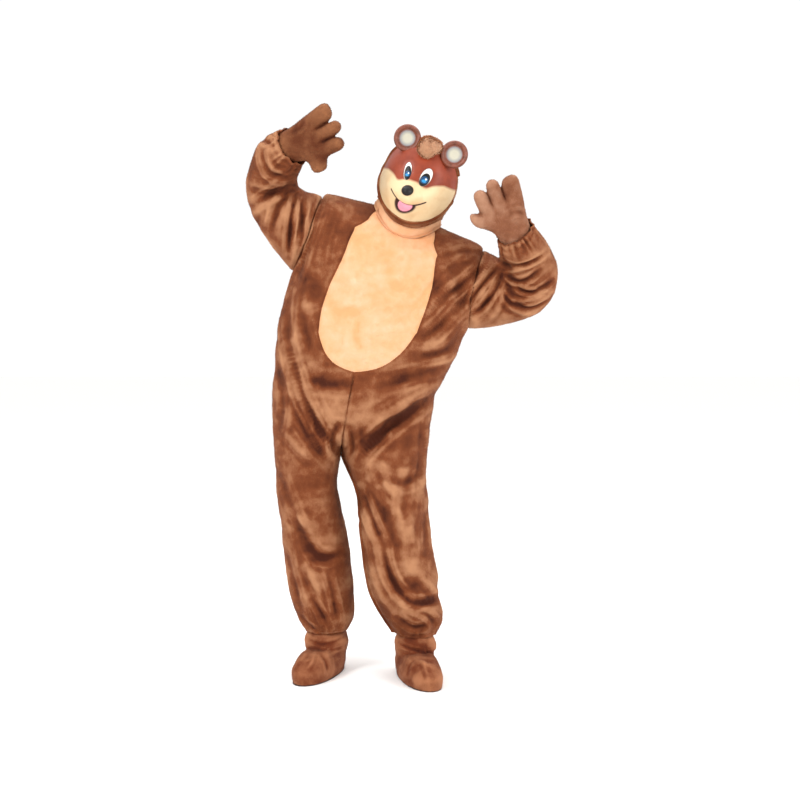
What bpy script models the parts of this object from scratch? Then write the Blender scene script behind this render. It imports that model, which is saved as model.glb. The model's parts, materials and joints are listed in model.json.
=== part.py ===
"""Teddy bear costume as worn: plush jumpsuit, hood with a moulded bear face, mitts and shoe covers.

Every piece is a hollow wall, cut and sewn as a costume maker would: the suit's skin is worked out
once, from short tables of sections and folds, and each panel is then a wall taken from that skin, so
neighbours share one seam line and lie 0.3 mm apart along it.

The frame: the origin is in the middle of the neck seam, +Z is up, the front faces -Y, and the
garment's own left is at +X. Sizes are in metres.
"""
import math
from collections import namedtuple

import bmesh
import bpy
import numpy as np
from mathutils import Matrix, Vector

MM = 0.001

# Walls
PLUSH = 5 * MM              # knitted backing with its pile
FLEECE = 4 * MM             # the short peach pile of belly and collar
THIN_PLUSH = 3 * MM         # shoe covers and hood
VINYL = 2 * MM              # moulded face
SEAM = 0.3 * MM             # gap between two pieces at a seam

# Columns and rows of the skin
FRONT_COLUMNS = 11          # from centre front, or the belly panel, to the side seam
BACK_COLUMNS = 7            # from the side seam to the centre back
BELLY_COLUMNS = 4           # from centre front to the edge of the belly panel
ARMHOLE_ROWS = 9            # from the armpit up to the shoulder point
SLEEVE_ROWS = 11
CUFF_ROWS = 3               # rows above the cuff over which folds fade
LEG_ROWS = 11

# Heights
FLOOR = -1.403
CROTCH = -0.700
RISE = 0.155                # height over which two legs become one seat
BELLY_BOTTOM = -0.455
BELLY_CURVE = 0.165         # height of the round lower end of the belly panel
BELLY_HALF = 0.150
ARMPIT = -0.248
BELLY_NARROWING = 0.018     # how much less its half width is at the shoulder
NECK_HALF = (0.132, 0.098)  # half of the neck opening that the belly panel takes, shoulder and neckline
SHOULDER = 0.006
NECKLINE = 0.018
ARMHOLE_BULGE = 0.055       # how far the chest would reach past the armhole
BULGE_ROUND = 0.8           # below 1 spreads that reach further up and down the armhole
WAIST_ROWS = (-0.500, -0.297)               # plain rows below and above the belly panel's curve
RISE_TURNS = (0, 24, 46, 68, 90)            # rows of the seat, as turns of a quarter circle
CURVE_TURNS = (24, 44, 66)                  # rows of the belly panel's round end, in the same way
BLOUSE_ROWS = (0.026, 0.060)                # from the blouse up: the last fine row, the first of the leg
BELOW_CROTCH = (0.030, 0.012)               # the last two rows of the leg

FULLNESS = 0.87             # below 1 makes a section boxier than an ellipse

Torso = namedtuple("Torso", "z x lean right left front back dip_front dip_back")
TORSO = [
    Torso(-0.700, -0.204, 1.0, 0.214, 0.270, 0.165, 0.150, 0.000, 0.000),
    Torso(-0.545, -0.176, 3.0, 0.246, 0.262, 0.178, 0.155, 0.000, 0.000),
    Torso(-0.508, -0.169, 4.5, 0.247, 0.262, 0.182, 0.150, 0.000, 0.000),
    Torso(-0.436, -0.155, 7.0, 0.258, 0.281, 0.186, 0.142, 0.000, 0.000),
    Torso(-0.384, -0.142, 9.0, 0.265, 0.290, 0.184, 0.138, 0.000, 0.000),
    Torso(-0.319, -0.122, 12.5, 0.272, 0.294, 0.176, 0.136, 0.000, 0.000),
    Torso(-0.248, -0.096, 17.8, 0.281, 0.296, 0.164, 0.134, 0.000, 0.000),
    Torso(-0.120, -0.047, 19.0, 0.264, 0.264, 0.146, 0.126, 0.040, 0.010),
    Torso(0.006, -0.010, 18.7, 0.260, 0.262, 0.118, 0.106, 0.086, 0.026),
    Torso(0.018, 0.000, 19.0, 0.109, 0.109, 0.100, 0.092, 0.072, 0.016),
]

Leg = namedtuple("Leg", "z x y half deep")
RIGHT_LEG = [
    Leg(-1.287, -0.253, -0.020, 0.074, 0.076),
    Leg(-1.270, -0.253, -0.020, 0.066, 0.068),
    Leg(-1.245, -0.254, -0.019, 0.084, 0.084),
    Leg(-1.180, -0.264, -0.016, 0.101, 0.103),
    Leg(-1.088, -0.277, -0.013, 0.106, 0.109),
    Leg(-0.979, -0.288, -0.012, 0.105, 0.110),
    Leg(-0.867, -0.308, -0.010, 0.098, 0.113),
    Leg(-0.805, -0.315, -0.005, 0.097, 0.119),
    Leg(-0.732, -0.311, 0.000, 0.105, 0.138),
    Leg(-0.700, -0.311, 0.000, 0.107, 0.146),
]
LEFT_LEG = [
    Leg(-1.289, 0.029, -0.060, 0.072, 0.074),
    Leg(-1.272, 0.028, -0.060, 0.064, 0.066),
    Leg(-1.247, 0.026, -0.060, 0.083, 0.084),
    Leg(-1.205, 0.014, -0.063, 0.097, 0.098),
    Leg(-1.146, -0.008, -0.070, 0.105, 0.107),
    Leg(-1.091, -0.012, -0.078, 0.113, 0.110),
    Leg(-1.011, -0.026, -0.085, 0.107, 0.111),
    Leg(-0.945, -0.033, -0.086, 0.108, 0.113),
    Leg(-0.872, -0.036, -0.076, 0.108, 0.117),
    Leg(-0.811, -0.049, -0.050, 0.108, 0.126),
    Leg(-0.732, -0.068, -0.008, 0.131, 0.142),
    Leg(-0.700, -0.069, 0.000, 0.135, 0.146),
]

# A sleeve section: its middle, the angle from straight up to the crook side, its half height and depth
Sleeve = namedtuple("Sleeve", "x y z angle half deep")
RIGHT_SLEEVE = [
    Sleeve(-0.368, -0.008, 0.016, 38, 0.100, 0.092),
    Sleeve(-0.409, -0.018, 0.070, 63, 0.086, 0.086),
    Sleeve(-0.416, -0.030, 0.107, 80, 0.082, 0.084),
    Sleeve(-0.412, -0.052, 0.136, 93, 0.078, 0.080),
    Sleeve(-0.399, -0.088, 0.168, 109, 0.074, 0.074),
    Sleeve(-0.382, -0.122, 0.192, 126, 0.075, 0.070),
    Sleeve(-0.366, -0.142, 0.204, 136, 0.066, 0.062),
    Sleeve(-0.351, -0.160, 0.212, 146, 0.060, 0.054),
    Sleeve(-0.342, -0.170, 0.217, 148, 0.066, 0.060),
]
LEFT_SLEEVE = [
    Sleeve(0.258, -0.010, -0.215, 4, 0.113, 0.094),
    Sleeve(0.290, -0.018, -0.213, -6, 0.107, 0.090),
    Sleeve(0.331, -0.030, -0.203, -28, 0.106, 0.088),
    Sleeve(0.363, -0.043, -0.177, -48, 0.108, 0.086),
    Sleeve(0.373, -0.062, -0.141, -66, 0.101, 0.082),
    Sleeve(0.364, -0.092, -0.109, -81, 0.086, 0.076),
    Sleeve(0.349, -0.126, -0.080, -96, 0.074, 0.068),
    Sleeve(0.336, -0.146, -0.062, -110, 0.066, 0.060),
    Sleeve(0.325, -0.160, -0.048, -122, 0.058, 0.053),
    Sleeve(0.318, -0.168, -0.039, -124, 0.066, 0.060),
]

# A fold runs from one point of the front view to another and bows to one side of that line
Fold = namedtuple("Fold", "x0 z0 x1 z1 bow width height")
FRONT_FOLDS = [
    # Groin: the seat hangs in creases from both hips to the crotch
    Fold(0.060, -0.555, -0.155, -0.690, -0.012, 0.048, -0.022),
    Fold(0.075, -0.480, -0.110, -0.610, -0.012, 0.045, 0.014),
    Fold(-0.385, -0.450, -0.235, -0.655, -0.035, 0.048, -0.020),
    Fold(-0.340, -0.500, -0.235, -0.600, -0.020, 0.035, 0.012),
    Fold(-0.410, -0.570, -0.320, -0.760, -0.015, 0.042, -0.014),
    # Left leg
    Fold(-0.140, -0.790, -0.040, -1.060, 0.025, 0.040, -0.026),
    Fold(-0.085, -0.790, 0.025, -1.020, 0.020, 0.040, 0.014),
    Fold(-0.040, -1.075, 0.110, -1.130, -0.018, 0.036, -0.022),
    Fold(-0.060, -1.155, 0.110, -1.180, -0.012, 0.034, 0.012),
    Fold(0.060, -0.870, 0.010, -0.990, 0.010, 0.036, -0.014),
    # Right leg
    Fold(-0.370, -0.925, -0.240, -1.040, -0.015, 0.040, -0.020),
    Fold(-0.370, -0.855, -0.240, -0.960, -0.015, 0.040, 0.010),
    Fold(-0.350, -1.080, -0.200, -1.170, -0.015, 0.038, -0.016),
    Fold(-0.340, -1.150, -0.190, -1.110, 0.010, 0.036, 0.010),
    Fold(-0.400, -0.775, -0.260, -0.830, -0.015, 0.040, -0.012),
    # Below the belly panel and at the waist
    Fold(-0.375, -0.380, -0.230, -0.490, -0.020, 0.042, -0.014),
    Fold(0.120, -0.370, -0.060, -0.470, 0.020, 0.042, -0.014),
    Fold(0.150, -0.310, 0.060, -0.400, 0.020, 0.038, 0.010),
    # From the armpits into the chest
    Fold(-0.360, -0.190, -0.285, -0.060, 0.010, 0.038, -0.018),
    Fold(0.185, -0.280, 0.130, -0.130, -0.012, 0.038, -0.018),
    Fold(0.125, -0.290, 0.095, -0.120, -0.010, 0.036, 0.010),
    Fold(-0.330, -0.300, -0.300, -0.150, -0.010, 0.036, 0.010),
    # Right sleeve: folds run from the crook to the outside of the elbow
    Fold(-0.320, 0.075, -0.440, -0.020, -0.020, 0.036, -0.020),
    Fold(-0.320, 0.100, -0.475, 0.060, -0.008, 0.034, -0.018),
    Fold(-0.330, 0.120, -0.485, 0.115, 0.006, 0.030, 0.012),
    Fold(-0.330, 0.145, -0.460, 0.190, 0.010, 0.032, -0.018),
    Fold(-0.290, 0.040, -0.345, -0.100, -0.015, 0.036, -0.018),
    Fold(-0.250, 0.030, -0.300, -0.130, -0.015, 0.034, 0.012),
    # Left sleeve
    Fold(0.300, -0.115, 0.335, -0.290, -0.020, 0.036, -0.020),
    Fold(0.290, -0.120, 0.240, -0.290, -0.020, 0.036, -0.018),
    Fold(0.310, -0.115, 0.400, -0.275, 0.015, 0.034, 0.012),
    Fold(0.315, -0.110, 0.460, -0.215, 0.010, 0.034, -0.018),
    Fold(0.320, -0.085, 0.485, -0.130, 0.010, 0.030, 0.012),
    Fold(0.325, -0.060, 0.465, -0.075, -0.008, 0.030, -0.016),
]
BACK_FOLDS = [
    Fold(0.060, -0.560, -0.160, -0.680, -0.020, 0.045, -0.024),
    Fold(-0.400, -0.560, -0.240, -0.670, -0.025, 0.045, -0.024),
    Fold(-0.380, -0.400, -0.180, -0.450, -0.020, 0.042, -0.014),
    Fold(0.110, -0.380, -0.100, -0.440, 0.020, 0.042, -0.014),
    Fold(-0.120, -0.860, 0.050, -0.950, 0.015, 0.042, -0.018),
    Fold(-0.100, -1.080, 0.080, -1.150, -0.015, 0.038, -0.016),
    Fold(-0.380, -0.900, -0.230, -0.990, -0.015, 0.042, -0.016),
    Fold(-0.350, -1.130, -0.200, -1.090, 0.015, 0.038, -0.014),
    Fold(-0.310, -0.200, -0.200, -0.060, 0.010, 0.042, -0.014),
    Fold(0.180, -0.290, 0.100, -0.140, -0.012, 0.042, -0.014),
    Fold(-0.320, 0.080, -0.460, 0.040, -0.010, 0.036, -0.016),
    Fold(0.300, -0.120, 0.440, -0.230, 0.015, 0.036, -0.016),
]

# Gathers: how many waves the elastic draws up, how high, and how far they run up the cloth
CUFF_WAVES = 9
CUFF_WAVE = 3.0 * MM
HEM_WAVES = 9
HEM_WAVE = 3.5 * MM
GATHER_REACH = 0.085
CUFF_GATHERS = ((-3, 0.5), (-2, 0.9), (-1, 1.0))   # sleeve section, counted from the last, and its share
FOLD_FADE = (0.35, 0.4)     # a fold shows in full where the cloth faces its side by more than the second
FOLD_END = 0.04             # a fold's height at its ends is what a sine gives at this share of its length
FOLD_STEPS = 24

# Collar
COLLAR_HEIGHT = 0.049
COLLAR_BACK = 0.7           # its height at the back, as a share of the front's
COLLAR_IN = 0.012           # how far its top leans in
COLLAR_CURL = 1.5           # above 1 keeps it upright at the seam and leans it in near its top
COLLAR_STEPS = (0.5, 1.0)
COLLAR_CLEAR = 0.9 * MM     # between collar and hood, at the corners of the hood's edge

# Head
HEAD = Vector((0.037, -0.022, 0.115))
HEAD_ROLL = math.radians(18)
HEAD_YAW = math.radians(-11)
HEAD_COLUMNS = 8            # from the edge of the face, or the middle of the front, to the back
FACE_ROWS = 10              # up each side of the face opening
FACE_RINGS = 7
CHIN = 0.055                # where the face begins, as a share of the way from the hood's edge to its crown
FOREHEAD = 0.870
FACE_HALF_ANGLE = math.radians(82)
FACE_SQUARE = 2.5           # 2 is an ellipse, and more is squarer
HOOD_EDGE = 0.71            # how far up the collar the hood's edge lies
HOOD_BLEND = 0.3            # share of its height over which the hood leaves the collar's form
CROWN = 0.142
CROWN_SHARES = [0.905, 0.940, 0.970]
NOSE = (0.0, -0.040)        # angle from straight ahead and height
MASK_CROWDING = 1.15        # above 1 draws the mask's rings together towards the nose
MASK_BLEND = (2.6, 1.5)     # how fast, and how roundly, the mouldings rise from the mask's edge

Hood = namedtuple("Hood", "z half front back")
HOOD = [
    Hood(-0.150, 0.104, 0.100, 0.095),
    Hood(-0.126, 0.105, 0.102, 0.098),
    Hood(-0.090, 0.108, 0.108, 0.108),
    Hood(-0.050, 0.114, 0.111, 0.118),
    Hood(0.000, 0.119, 0.113, 0.127),
    Hood(0.045, 0.112, 0.109, 0.126),
    Hood(0.085, 0.094, 0.095, 0.110),
    Hood(0.112, 0.070, 0.072, 0.084),
    Hood(0.132, 0.040, 0.042, 0.048),
    Hood(0.142, 0.001, 0.001, 0.001),
]

# Swellings of the moulded face: where each is, as degrees and a height, how wide and tall, and how far out
Swelling = namedtuple("Swelling", "angle z wide tall out")
FACE = [
    Swelling(0, -0.064, 31, 0.036, 0.034),
    Swelling(0, -0.038, 9, 0.012, 0.014),
    Swelling(-38, -0.052, 20, 0.026, 0.008),
    Swelling(38, -0.052, 20, 0.026, 0.008),
    Swelling(-17, 0.046, 14, 0.014, 0.006),
    Swelling(17, 0.046, 14, 0.014, 0.006),
    Swelling(-15, 0.016, 11, 0.016, -0.006),
    Swelling(15, 0.016, 11, 0.016, -0.006),
    Swelling(0, -0.084, 16, 0.008, -0.012),
]

# Ears: turned dishes, as distance from the middle and height, from the back to the front
EAR_RADIUS = 0.042
EAR_PROFILE = [(0.0, -0.004), (0.028, -0.001), (0.039, 0.005), (EAR_RADIUS, 0.011),
               (0.038, 0.018), (0.031, 0.016), (0.024, 0.009), (0.0, 0.006)]
EAR_STEPS = 16
EAR_PLACE = (0.077, -0.014, 0.111)      # to the side, forward of the head's middle, and up
SEAT = 0.5 * MM              # from the hood's skin to what rests on it

# The forehead tuft: rows from the brow to behind the crown
Tuft = namedtuple("Tuft", "share half rise")
TUFT = [
    Tuft(0.800, 0.012, 0.002),
    Tuft(0.830, 0.024, 0.010),
    Tuft(0.880, 0.032, 0.015),
    Tuft(0.925, 0.034, 0.017),
    Tuft(0.965, 0.030, 0.014),
]
TUFT_LOCKS = 4
TUFT_COLUMNS = 8
TUFT_EDGE = 0.25            # how thick its sides are, as a share of its middle
TUFT_WAVE = 0.2             # how far its locks stand out, as a share
TUFT_SUNK = 3 * MM          # how deep it goes before its seat is cut

# Mitts: how far from the wrist each row of the palm is, and its half width and half thickness
Palm = namedtuple("Palm", "along half thick")
PALM = [Palm(0.042, 0.052, 0.030), Palm(0.104, 0.068, 0.030)]
PALM_COLUMNS = (-1.0, -0.14, 0.44, 1.0)     # a wide finger, then two narrow ones
Tip = namedtuple("Tip", "across along half")
FINGERS = [Tip(-0.050, 0.178, 0.034), Tip(0.003, 0.190, 0.0245), Tip(0.051, 0.176, 0.0245)]
THUMB = Tip(0.114, 0.000, 0.028)
SLIM = ((0.5, 0.96), (1.0, 0.84))           # how finger and thumb narrow on the way to the tip
Mitt = namedtuple("Mitt", "name side hand palm thumb")
MITTS = [
    Mitt("mitt_right", -1, (0.83, -0.42, 0.34), (0.00, -1.00, 0.00), 0.070),
    Mitt("mitt_left", 1, (-0.42, -0.22, 0.88), (0.00, -1.00, 0.00), 0.104),
]
WRIST_ROWS = (-0.018, 0.005)                # along the cuff, from its elastic
WRIST_FIT = 1.095                           # the cage of the wrist against its rounded form
WRIST_CLEAR = 0.5 * MM
WRIST_TURN = (157.5, -45)                   # where its first corner is, and the step to the next
MITT_WALL = 4 * MM
FINGER_CURL = 0.010                         # how far the tips bend towards the palm

# Shoe covers: heel and toe of each sole, on the floor
Shoe = namedtuple("Shoe", "name side heel toe")
SHOES = [
    Shoe("right", -1, (-0.214, 0.046), (-0.326, -0.222)),
    Shoe("left", 1, (-0.012, 0.010), (0.076, -0.286)),
]
SHOE_COLUMNS = 22
SHOE_ROWS = 9
SOLE = 3 * MM
SHAFT_CLEAR = 0.35 * MM     # between the shaft and the gathered hem
SOLE_HALF = 0.054
SOLE_TOE = 0.008            # how much wider the ball of the foot is than the heel
SOLE_SQUARE = -0.1          # below 0 makes heel and toe blunter than an ellipse
UPPER_RISE = (0.006, 0.026, 0.010)          # out, up, and more up at the toe
INSTEP_RISE = (0.006, 0.016)                # up, and more up at the toe
ANKLE_DROP = 0.034          # from the trouser hem down to the narrow of the ankle
Step = namedtuple("Step", "above smaller")
SHAFT = [Step(-0.006, 0.003), Step(0.006, None)]    # steps of the shaft from the hem; None is inside it
SHAFT_TOP = 0.012           # how far the shaft goes on above the elastic


def eased(table, column, z):
    """One column of a table at height z, on a smooth curve that never overshoots its rows."""
    heights = [row[0] for row in table]
    values = [getattr(row, column) for row in table]
    steps = [(values[i + 1] - values[i]) / (heights[i + 1] - heights[i]) for i in range(len(table) - 1)]
    slopes = [steps[0]]
    for before, after in zip(steps, steps[1:]):
        slopes.append(0.0 if before * after <= 0 else 2 * before * after / (before + after))
    slopes.append(steps[-1])
    z = min(max(z, heights[0]), heights[-1])
    i = min(max(np.searchsorted(heights, z) - 1, 0), len(steps) - 1)
    width = heights[i + 1] - heights[i]
    t = (z - heights[i]) / width
    return ((2 * t ** 3 - 3 * t ** 2 + 1) * values[i] + (t ** 3 - 2 * t ** 2 + t) * width * slopes[i]
            + (3 * t ** 2 - 2 * t ** 3) * values[i + 1] + (t ** 3 - t ** 2) * width * slopes[i + 1])


def spread(first, last, count):
    """Evenly spaced values from first to last, count steps apart."""
    return [first + (last - first) * i / count for i in range(count)] + [last]


def torso_point(side, theta, z, bulge=0.0):
    """A point of the body: theta runs from centre front, past the side, to centre back."""
    front_half = theta <= math.pi / 2
    lean = math.radians(eased(TORSO, "lean", z))
    half = eased(TORSO, "left" if side > 0 else "right", z) + bulge
    deep = eased(TORSO, "front" if front_half else "back", z)
    dip = eased(TORSO, "dip_front" if front_half else "dip_back", z) * math.cos(theta) ** 2
    out = side * half * math.sin(theta) ** FULLNESS
    along = deep * abs(math.cos(theta)) ** FULLNESS * (-1 if front_half else 1)
    return np.array((eased(TORSO, "x", z) + out * math.cos(lean) - dip * math.sin(lean), along,
                     z - out * math.sin(lean) - dip * math.cos(lean)))


def leg_point(side, angle, z):
    """A point of a leg: the angle runs from the inseam over the front to the outside and back."""
    table = LEFT_LEG if side > 0 else RIGHT_LEG
    fade = max(0.0, 1 - (z - table[0].z) / GATHER_REACH)
    wave = HEM_WAVE * fade * math.cos(HEM_WAVES * angle)
    return np.array((eased(table, "x", z) - side * (eased(table, "half", z) + wave) * math.cos(angle),
                     eased(table, "y", z) - (eased(table, "deep", z) + wave) * math.sin(angle), z))


def seat_point(side, share, z):
    """A point between crotch and hip, where a leg's ring opens into half of the seat."""
    climb = min((z - CROTCH) / RISE, 1)
    round_rise = math.sqrt(max(0.0, 1 - (1 - climb) ** 2))
    slow_rise = climb ** 2 * (3 - 2 * climb)
    opened = round_rise + (slow_rise - round_rise) * math.sin(math.pi * share)
    body = torso_point(side, math.pi * share, z)
    middle = eased(TORSO, "x", z)
    half = eased(TORSO, "left" if side > 0 else "right", z) / 2
    deep = eased(LEFT_LEG, "deep", CROTCH)
    angle = 2 * math.pi * share
    ring = np.array((middle + side * half * (1 - math.cos(angle)), -deep * math.sin(angle), body[2]))
    return body * opened + ring * (1 - opened)


def edge_angle(side, z, reach, bulge=0.0):
    """The angle at which the body is reach away from its middle."""
    half = eased(TORSO, "left" if side > 0 else "right", z) + bulge
    return math.asin(min(1.0, reach / half) ** (1 / FULLNESS))


def belly_half(z):
    """Half width of the belly panel: a round lower end, then sides that run in to the neck seam."""
    if z <= BELLY_BOTTOM:
        return 0.0
    if z < BELLY_BOTTOM + BELLY_CURVE:
        return BELLY_HALF * math.sqrt(1 - (1 - (z - BELLY_BOTTOM) / BELLY_CURVE) ** 2)
    if z < SHOULDER:
        climb = (z - BELLY_BOTTOM - BELLY_CURVE) / (SHOULDER - BELLY_BOTTOM - BELLY_CURVE)
        return BELLY_HALF - BELLY_NARROWING * climb ** 2
    start, end = NECK_HALF
    return start + (end - start) * (z - SHOULDER) / (NECKLINE - SHOULDER)


class Skin:
    """Points shared by all panels of the suit, and the faces of each panel."""

    def __init__(self):
        self.points = []
        self.loose = []
        self.panels = {}

    def add(self, point, loose=1.0):
        """A new point; loose says how much folds may move it, which is not at all at an elastic."""
        self.points.append(np.array(point, dtype=float))
        self.loose.append(loose)
        return len(self.points) - 1

    def strip(self, panel, lower, upper, turned):
        """Faces between two rows; a row may be one point, or have twice the steps of the other."""
        faces = self.panels.setdefault(panel, [])
        if len(lower) == 1:
            new = [(lower[0], upper[j + 1], upper[j]) for j in range(len(upper) - 1)]
        elif len(upper) == 1:
            new = [(lower[j], lower[j + 1], upper[0]) for j in range(len(lower) - 1)]
        elif len(lower) == len(upper):
            new = [(lower[j], lower[j + 1], upper[j + 1], upper[j]) for j in range(len(upper) - 1)]
        else:
            new = []
            for j in range(len(upper) - 1):
                a, b, c = lower[2 * j:2 * j + 3]
                new += [(a, b, upper[j]), (b, upper[j + 1], upper[j]), (b, c, upper[j + 1])]
        faces += [tuple(reversed(face)) for face in new] if turned else new

    def normals(self):
        """A normal at each point, from the faces of all panels around it."""
        points = np.array(self.points)
        normals = np.zeros_like(points)
        for faces in self.panels.values():
            for face in faces:
                first, last = points[face[0]], points[face[-1]]
                middle = points[face[2]] if len(face) == 4 else last
                normal = np.cross(points[face[1]] - last, middle - first) if len(face) == 4 \
                    else np.cross(points[face[1]] - first, last - first)
                normals[list(face)] += normal
        return normals / np.maximum(np.linalg.norm(normals, axis=1, keepdims=True), 1e-12)


def build_side(skin, side, centres):
    """One half of the suit: a leg, and half of the body, row by row from the hem to the neck."""
    name = "left" if side > 0 else "right"
    turned = side < 0
    table = LEFT_LEG if side > 0 else RIGHT_LEG
    hem, elastic, blouse = table[0].z, table[1].z, table[2].z
    gathered = [hem, elastic, blouse, blouse + BLOUSE_ROWS[0]]
    leg_rows = spread(blouse + BLOUSE_ROWS[1], CROTCH - BELOW_CROTCH[0], LEG_ROWS)
    leg_rows.append(CROTCH - BELOW_CROTCH[1])
    rise_rows = [CROTCH + RISE * (1 - math.cos(math.radians(turn))) for turn in RISE_TURNS]
    curve_rows = [BELLY_BOTTOM + BELLY_CURVE * (1 - math.cos(math.radians(turn))) for turn in CURVE_TURNS]
    plain_rows = [WAIST_ROWS[0], BELLY_BOTTOM] + curve_rows + [WAIST_ROWS[1]]
    armhole_rows = spread(ARMPIT, SHOULDER, ARMHOLE_ROWS)
    top_rows = spread(SHOULDER, NECKLINE, 3)[1:]

    def ring(point_at, columns_front, columns_back, loose):
        """A closed row of a leg, as the row of the front and the row of the back."""
        count = columns_front + columns_back
        shares = spread(0, 0.5, columns_front) + spread(0.5, 1, columns_back)[1:]
        ids = [skin.add(point_at(share), loose) for share in shares[:count]]
        return ids[:columns_front + 1], ids[columns_front:] + [ids[0]]

    below = None
    for z in gathered + leg_rows:
        fine = 2 if z in gathered else 1
        loose = min(1.0, max(0.0, (z - elastic) / GATHER_REACH))
        row = ring(lambda share: leg_point(side, 2 * math.pi * share, z), FRONT_COLUMNS * fine,
                   BACK_COLUMNS * fine, loose)
        if below:
            skin.strip("front_" + name, below[0], row[0], turned)
            skin.strip("back_" + name, below[1], row[1], turned)
        below = row

    armhole = []
    below_belly = None
    for z in rise_rows + plain_rows + armhole_rows + top_rows:
        if z not in centres:
            centres[z] = (skin.add(seat_point(1, 0, z)), skin.add(seat_point(1, 1, z)))
        centre_front, centre_back = centres[z]
        if z == CROTCH:
            centre_back = centre_front
        arm = ARMPIT <= z <= SHOULDER
        climb = (z - ARMPIT) / (SHOULDER - ARMPIT)
        bulge = ARMHOLE_BULGE * math.sin(math.pi * climb) ** BULGE_ROUND if arm and 0 < climb < 1 else 0.0
        belly_edge = edge_angle(side, z, belly_half(z), bulge)
        if arm:
            reach = eased(TORSO, "left" if side > 0 else "right", z)
            arm_edge = edge_angle(side, z, reach, bulge)
        else:
            arm_edge = math.pi / 2
        rounding = z < CROTCH + RISE

        def place(theta):
            return seat_point(side, theta / math.pi, z) if rounding else torso_point(side, theta, z, bulge)

        front_angles = spread(belly_edge, arm_edge, FRONT_COLUMNS)
        back_angles = spread(math.pi - arm_edge, math.pi, BACK_COLUMNS)
        first = centre_front if belly_edge == 0 else skin.add(place(belly_edge))
        front = [first] + [skin.add(place(theta)) for theta in front_angles[1:]]
        side_point = front[-1] if bulge == 0 else skin.add(place(back_angles[0]))
        back = [side_point] + [skin.add(place(theta)) for theta in back_angles[1:-1]] + [centre_back]
        belly = [centre_front]
        if belly_edge > 0:
            inner = spread(0, belly_edge, BELLY_COLUMNS)[1:-1]
            belly += [skin.add(place(theta)) for theta in inner] + [first]
        skin.strip("front_" + name, below[0], front, turned)
        skin.strip("back_" + name, below[1], back, turned)
        if below_belly and belly_edge > 0:
            skin.strip("belly_panel", below_belly, belly, turned)
        if arm:
            armhole.append((front[-1], back[0]))
        below, below_belly = (front, back), belly
    neck = below_belly + below[0][1:] + below[1][1:]
    return armhole, neck


def sleeve_ring(section, path, side, count):
    """Points of one sleeve section, from its crook side over the front."""
    turn = math.radians(section.angle)
    up = np.array((math.sin(turn), 0, math.cos(turn)))
    forward = side * np.cross(path, up)
    forward /= np.linalg.norm(forward)
    angles = [2 * math.pi * i / count for i in range(count)]
    middle = np.array((section.x, section.y, section.z))
    return [middle + up * section.half * math.cos(a) + forward * section.deep * math.sin(a) for a in angles]


def curve_through(points, share):
    """A point on a smooth curve through a list of points, share running from 0 to 1."""
    points = np.array(points)
    steps = np.linalg.norm(np.diff(points, axis=0), axis=1)
    marks = np.concatenate(([0], np.cumsum(np.maximum(steps, 1 * MM))))
    at = share * marks[-1]
    i = min(max(np.searchsorted(marks, at) - 1, 0), len(points) - 2)
    slopes = []
    for k in (i, i + 1):
        before, after = max(k - 1, 0), min(k + 1, len(points) - 1)
        slopes.append((points[after] - points[before]) / (marks[after] - marks[before]))
    width = marks[i + 1] - marks[i]
    t = (at - marks[i]) / width
    return ((2 * t ** 3 - 3 * t ** 2 + 1) * points[i] + (t ** 3 - 2 * t ** 2 + t) * width * slopes[0]
            + (3 * t ** 2 - 2 * t ** 3) * points[i + 1] + (t ** 3 - t ** 2) * width * slopes[1])


def build_sleeve(skin, side, armhole):
    """A sleeve grown from the armhole's own points through its sections to the cuff."""
    name = "left" if side > 0 else "right"
    table = LEFT_SLEEVE if side > 0 else RIGHT_SLEEVE
    front = [pair[0] for pair in armhole]
    back = [pair[1] for pair in armhole]
    ring = front[::-1] + back[1:-1]
    count = len(ring)
    middles = np.array([(row.x, row.y, row.z) for row in table])
    paths = np.gradient(middles, axis=0)
    rings = []
    for fine in (1, 2):
        start = [skin.points[i] for i in ring]
        if fine == 2:
            start = [(start[i // 2] + start[(i + 1) // 2 % count]) / 2 for i in range(2 * count)]
        sections = [sleeve_ring(row, path, side, count * fine) for row, path in zip(table, paths)]
        rings.append([list(column) for column in zip(start, *sections)])
    below = ring + ring[:1]
    for share in spread(0, 1, SLEEVE_ROWS)[1:]:
        loose = min(1.0, (1 - share) * SLEEVE_ROWS / CUFF_ROWS)
        ids = [skin.add(curve_through(column[:-3], share), loose) for column in rings[0]]
        skin.strip("sleeve_" + name, below, ids + ids[:1], side < 0)
        below = ids + ids[:1]
    for section, gather in CUFF_GATHERS:
        places = [column[section] for column in rings[1]]
        middle = np.mean(places, axis=0)
        ids = []
        for i, place in enumerate(places):
            out = (place - middle) / np.linalg.norm(place - middle)
            wave = CUFF_WAVE * gather * math.cos(2 * math.pi * CUFF_WAVES * i / len(places))
            ids.append(skin.add(place + out * wave, 0.0))
        row = ids + ids[:1]
        if len(row) == len(below):
            skin.strip("sleeve_" + name, below, row, side < 0)
        else:
            skin.strip("sleeve_" + name, row, below, side > 0)
        below = row


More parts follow.
